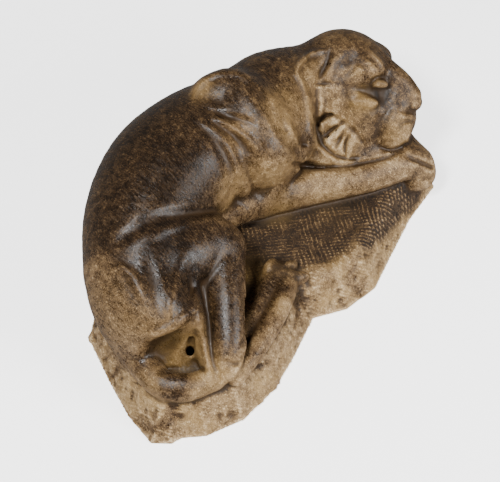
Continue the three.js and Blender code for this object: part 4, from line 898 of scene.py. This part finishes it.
class Nodes:
    """Short hand for building a material's node tree."""

    def __init__(self, name):
        self.material = bpy.data.materials.new(name)
        self.material.use_nodes = True
        self.tree = self.material.node_tree
        self.tree.nodes.clear()

    def set(self, socket, value):
        """Links a socket to the input, or sets a plain value on it."""
        if isinstance(value, bpy.types.NodeSocket):
            self.tree.links.new(value, socket)
        else:
            socket.default_value = value

    def add(self, kind, inputs=None, **settings):
        node = self.tree.nodes.new(kind)
        for key, value in settings.items():
            setattr(node, key, value)
        for key, value in (inputs or {}).items():
            self.set(node.inputs[key], value)
        return node

    def math(self, operation, a, b=0.0):
        return self.add("ShaderNodeMath", {0: a, 1: b}, operation=operation).outputs[0]

    def sum(self, *parts):
        """Values added one after the other."""
        total = parts[0]
        for part in parts[1:]:
            total = self.math("ADD", total, part)
        return total

    def sway(self, value, most):
        """A value from 0 to 1 as a push to both sides of nothing."""
        return self.math("MULTIPLY", self.math("SUBTRACT", value, 0.5), most)

    def mask(self, name):
        """A mask kept on the mesh."""
        return self.add("ShaderNodeAttribute", attribute_name=name, attribute_type="GEOMETRY").outputs["Fac"]

    def ramp(self, value, low, high, start=0.0, end=1.0):
        inputs = {"Value": value, "From Min": low, "From Max": high, "To Min": start, "To Max": end}
        return self.add("ShaderNodeMapRange", inputs, interpolation_type="SMOOTHSTEP").outputs["Result"]

    def mix(self, share, a, b):
        node = self.add("ShaderNodeMix", data_type="RGBA")
        for key, value in ((0, share), (6, a), (7, b)):
            self.set(node.inputs[key], value)
        return node.outputs[2]

    def noise(self, place, scale, detail=3.0, roughness=0.55):
        inputs = {"Vector": place, "Scale": scale, "Detail": detail, "Roughness": roughness}
        return self.add("ShaderNodeTexNoise", inputs).outputs["Fac"]


# Colour of the stone by tone, from dark and polished to pale and worn
TONES = (
    (0.00, (0.007, 0.0038, 0.0018)),
    (0.28, (0.034, 0.0185, 0.0080)),
    (0.52, (0.125, 0.073, 0.030)),
    (0.76, (0.280, 0.185, 0.090)),
    (1.00, (0.520, 0.410, 0.250)),
)
# Painted shade for narrow creases, then the dark and pale ochre of the stain
CREASE_SHADE = (0.036, 0.019, 0.007, 1)
DARK_OCHRE = (0.07, 0.036, 0.009, 1)
PALE_OCHRE = (0.40, 0.25, 0.085, 1)

# Marks in the stone: bumps to a metre, and how far each sways the tone
CLOUDS = 26.0
CLOUD_SWAY = 0.35
MOTTLES = 150.0
MOTTLE_SWAY = 0.65
GRAINS = 900.0
GRAIN_SWAY = 1.0
STREAKS = 640.0
STREAK_SWAY = 0.5
STREAK_TURN = (0.3, 0.5, 0.7)
STREAK_STRETCH = (1, 0.22, 0.5)

# Tone of the hewn sides, what pale specks add to it, and how much painted shade takes off the deepest hollows
SIDE_TONE = 0.60
SPECKS = 0.22
DEEP_SHADE = 0.33

# Shine of the stone, and the fine bumps that break it, in metres
SPECULAR = 0.3
BUMP_STRENGTH = 0.55
BUMP_HEIGHT = 0.0007


def marble():
    """Dark brown stone: polished forms, tooled face and base, ochre in the hollows, pale worn edges, painted
    shade in narrow creases and the deepest hollows.
    """
    n = Nodes("lion_marble")
    spot = n.add("ShaderNodeTexCoord").outputs["Object"]
    cloud = n.noise(spot, CLOUDS, 4.0)
    mottle = n.noise(spot, MOTTLES, 3.0, 0.6)
    grain = n.noise(spot, GRAINS, 3.0, 0.75)
    drawn_out = n.add("ShaderNodeMapping", {"Vector": spot, "Rotation": STREAK_TURN, "Scale": STREAK_STRETCH})
    streak = n.noise(drawn_out.outputs[0], STREAKS, 3.0, 0.6)

    plane, flank, tooled = n.mask("plane"), n.mask("flank"), n.mask("tooled")
    hollow, proud, deep = n.mask("hollow"), n.mask("proud"), n.mask("deep")
    base = n.math("ADD", plane, flank)
    rough_part = n.math("MAXIMUM", base, tooled)

    tone = n.sum(
        n.math("MULTIPLY", n.mask("tone"), n.math("SUBTRACT", 1.0, base)),
        n.math("MULTIPLY", flank, SIDE_TONE),
        n.math("MULTIPLY", plane, n.ramp(n.mask("teeth"), 0.4, 1.0, 0.16, 0.43)),
        n.sway(cloud, CLOUD_SWAY),
        n.sway(mottle, MOTTLE_SWAY),
        n.sway(grain, GRAIN_SWAY),
        n.ramp(grain, 0.56, 0.72, 0.0, SPECKS),
        n.sway(streak, STREAK_SWAY),
        n.math("MULTIPLY", n.ramp(proud, 0.15, 0.8), n.ramp(rough_part, 0, 1, 0.1, 0.22)),
    )
    # Painted shade: the deepest hollows darkened
    tone = n.math("SUBTRACT", tone, n.math("MULTIPLY", n.ramp(deep, 0.2, 1.0), DEEP_SHADE))
    ramp = n.add("ShaderNodeValToRGB", {"Fac": tone})
    stops = ramp.color_ramp.elements
    for position, _ in TONES[2:]:
        stops.new(position)
    for stop, (position, shade) in zip(stops, TONES):
        stop.position = position
        stop.color = (*shade, 1)

    stain = n.math("MULTIPLY", n.mask("ochre"), n.ramp(cloud, 0.3, 0.65, 0.35, 1.0))
    stain = n.math("MAXIMUM", stain, n.math("MULTIPLY", flank, n.ramp(cloud, 0.42, 0.62, 0.1, 0.5)))
    colour = n.mix(stain, ramp.outputs[0], n.mix(grain, DARK_OCHRE, PALE_OCHRE))
    # Painted shade: narrow creases mixed toward the dark crease colour
    colour = n.mix(n.ramp(hollow, 0.15, 0.9, 0.0, 0.65), colour, CREASE_SHADE)

    shine = n.ramp(streak, 0.3, 0.7, 0.16, 0.36)
    dull = n.ramp(tone, 0.1, 0.7, 0.0, 0.30)
    dull = n.math("MAXIMUM", dull, n.ramp(hollow, 0.1, 0.6, 0.0, 0.12))
    roughness = n.math("ADD", shine, n.math("MAXIMUM", dull, n.math("MULTIPLY", rough_part, 0.38)))
    height = n.math("ADD", n.math("MULTIPLY", grain, 0.6), n.math("MULTIPLY", streak, 0.7))
    bump = n.add("ShaderNodeBump", {"Height": height, "Strength": BUMP_STRENGTH, "Distance": BUMP_HEIGHT})
    shader = n.add("ShaderNodeBsdfPrincipled", {
        "Base Color": colour,
        "Roughness": roughness,
        "Normal": bump.outputs[0],
        "Specular IOR Level": SPECULAR,
    })
    n.add("ShaderNodeOutputMaterial", {"Surface": shader.outputs[0]})
    return n.material


# Studio: a pale floor just under the stone, and two round lamps as name, place, size and power
FLOOR_SIZE = 8
FLOOR_DROP = 0.0004
PAPER = (0.93, 0.93, 0.93, 1)
PAPER_ROUGHNESS = 0.9
PAPER_GLOW = 2.2
LAMPS = (
    ("key", (-0.72, -0.20, 1.32), 0.30, 30),
    ("front", (0.30, -1.20, 0.75), 0.6, 22),
)
LIT = (0, 0, 0.06)
SKY = (1, 1, 1, 1)
SKY_STRENGTH = 0.24

# Camera: lens and sensor in millimetres, height looked at and distance in shares, and the way back to it
LENS = 120.5
SENSOR = 36
LOOK_HEIGHT = 16
STAND_OFF = 360
SEEN_FROM = np.array([-0.43534, -0.43534, 0.78801])


def plain(name, colour, roughness, glow):
    """A plain material that glows a little in its own colour."""
    n = Nodes(name)
    shader = n.add("ShaderNodeBsdfPrincipled", {
        "Base Color": colour,
        "Roughness": roughness,
        "Emission Color": colour,
        "Emission Strength": glow,
    })
    n.add("ShaderNodeOutputMaterial", {"Surface": shader.outputs[0]})
    return n.material


def aim(thing, at, target):
    """Sets a lamp or camera down and turns it to its target."""
    thing.location = at
    thing.rotation_euler = (Vector(target) - Vector(at)).to_track_quat("-Z", "Y").to_euler()


def floor():
    """Pale paper that the polished stone doesn't mirror."""
    bpy.ops.mesh.primitive_plane_add(size=FLOOR_SIZE, location=(0, 0, -FLOOR_DROP))
    ground = bpy.context.object
    ground.name = "floor"
    ground.data.materials.append(plain("paper", PAPER, PAPER_ROUGHNESS, PAPER_GLOW))
    ground.visible_glossy = False


def lamps():
    """Soft light from the upper left and from the front, and a weak even sky."""
    for name, at, size, power in LAMPS:
        light = bpy.data.lights.new(name, "AREA")
        light.shape = "DISK"
        light.size = size
        light.energy = power
        lamp = bpy.data.objects.new(name, light)
        bpy.context.scene.collection.objects.link(lamp)
        aim(lamp, at, LIT)
    world = bpy.data.worlds.new("studio")
    world.use_nodes = True
    background = world.node_tree.nodes["Background"]
    background.inputs["Color"].default_value = SKY
    background.inputs["Strength"].default_value = SKY_STRENGTH
    bpy.context.scene.world = world


def viewpoint(shift):
    """The camera, looking down at the sleeping face as the photograph does."""
    camera = bpy.data.cameras.new("camera")
    camera.lens = LENS
    camera.sensor_width = SENSOR
    eye = bpy.data.objects.new("camera", camera)
    bpy.context.scene.collection.objects.link(eye)
    target = np.array([-shift[0], -shift[1], LOOK_HEIGHT * SHARE])
    aim(eye, tuple(target + SEEN_FROM * STAND_OFF * SHARE), tuple(target))
    bpy.context.scene.camera = eye


lion, shift = carve_lion()
lion.data.materials.append(marble())
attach(lion, "root")
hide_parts(NODE)
floor()
lamps()
viewpoint(shift)
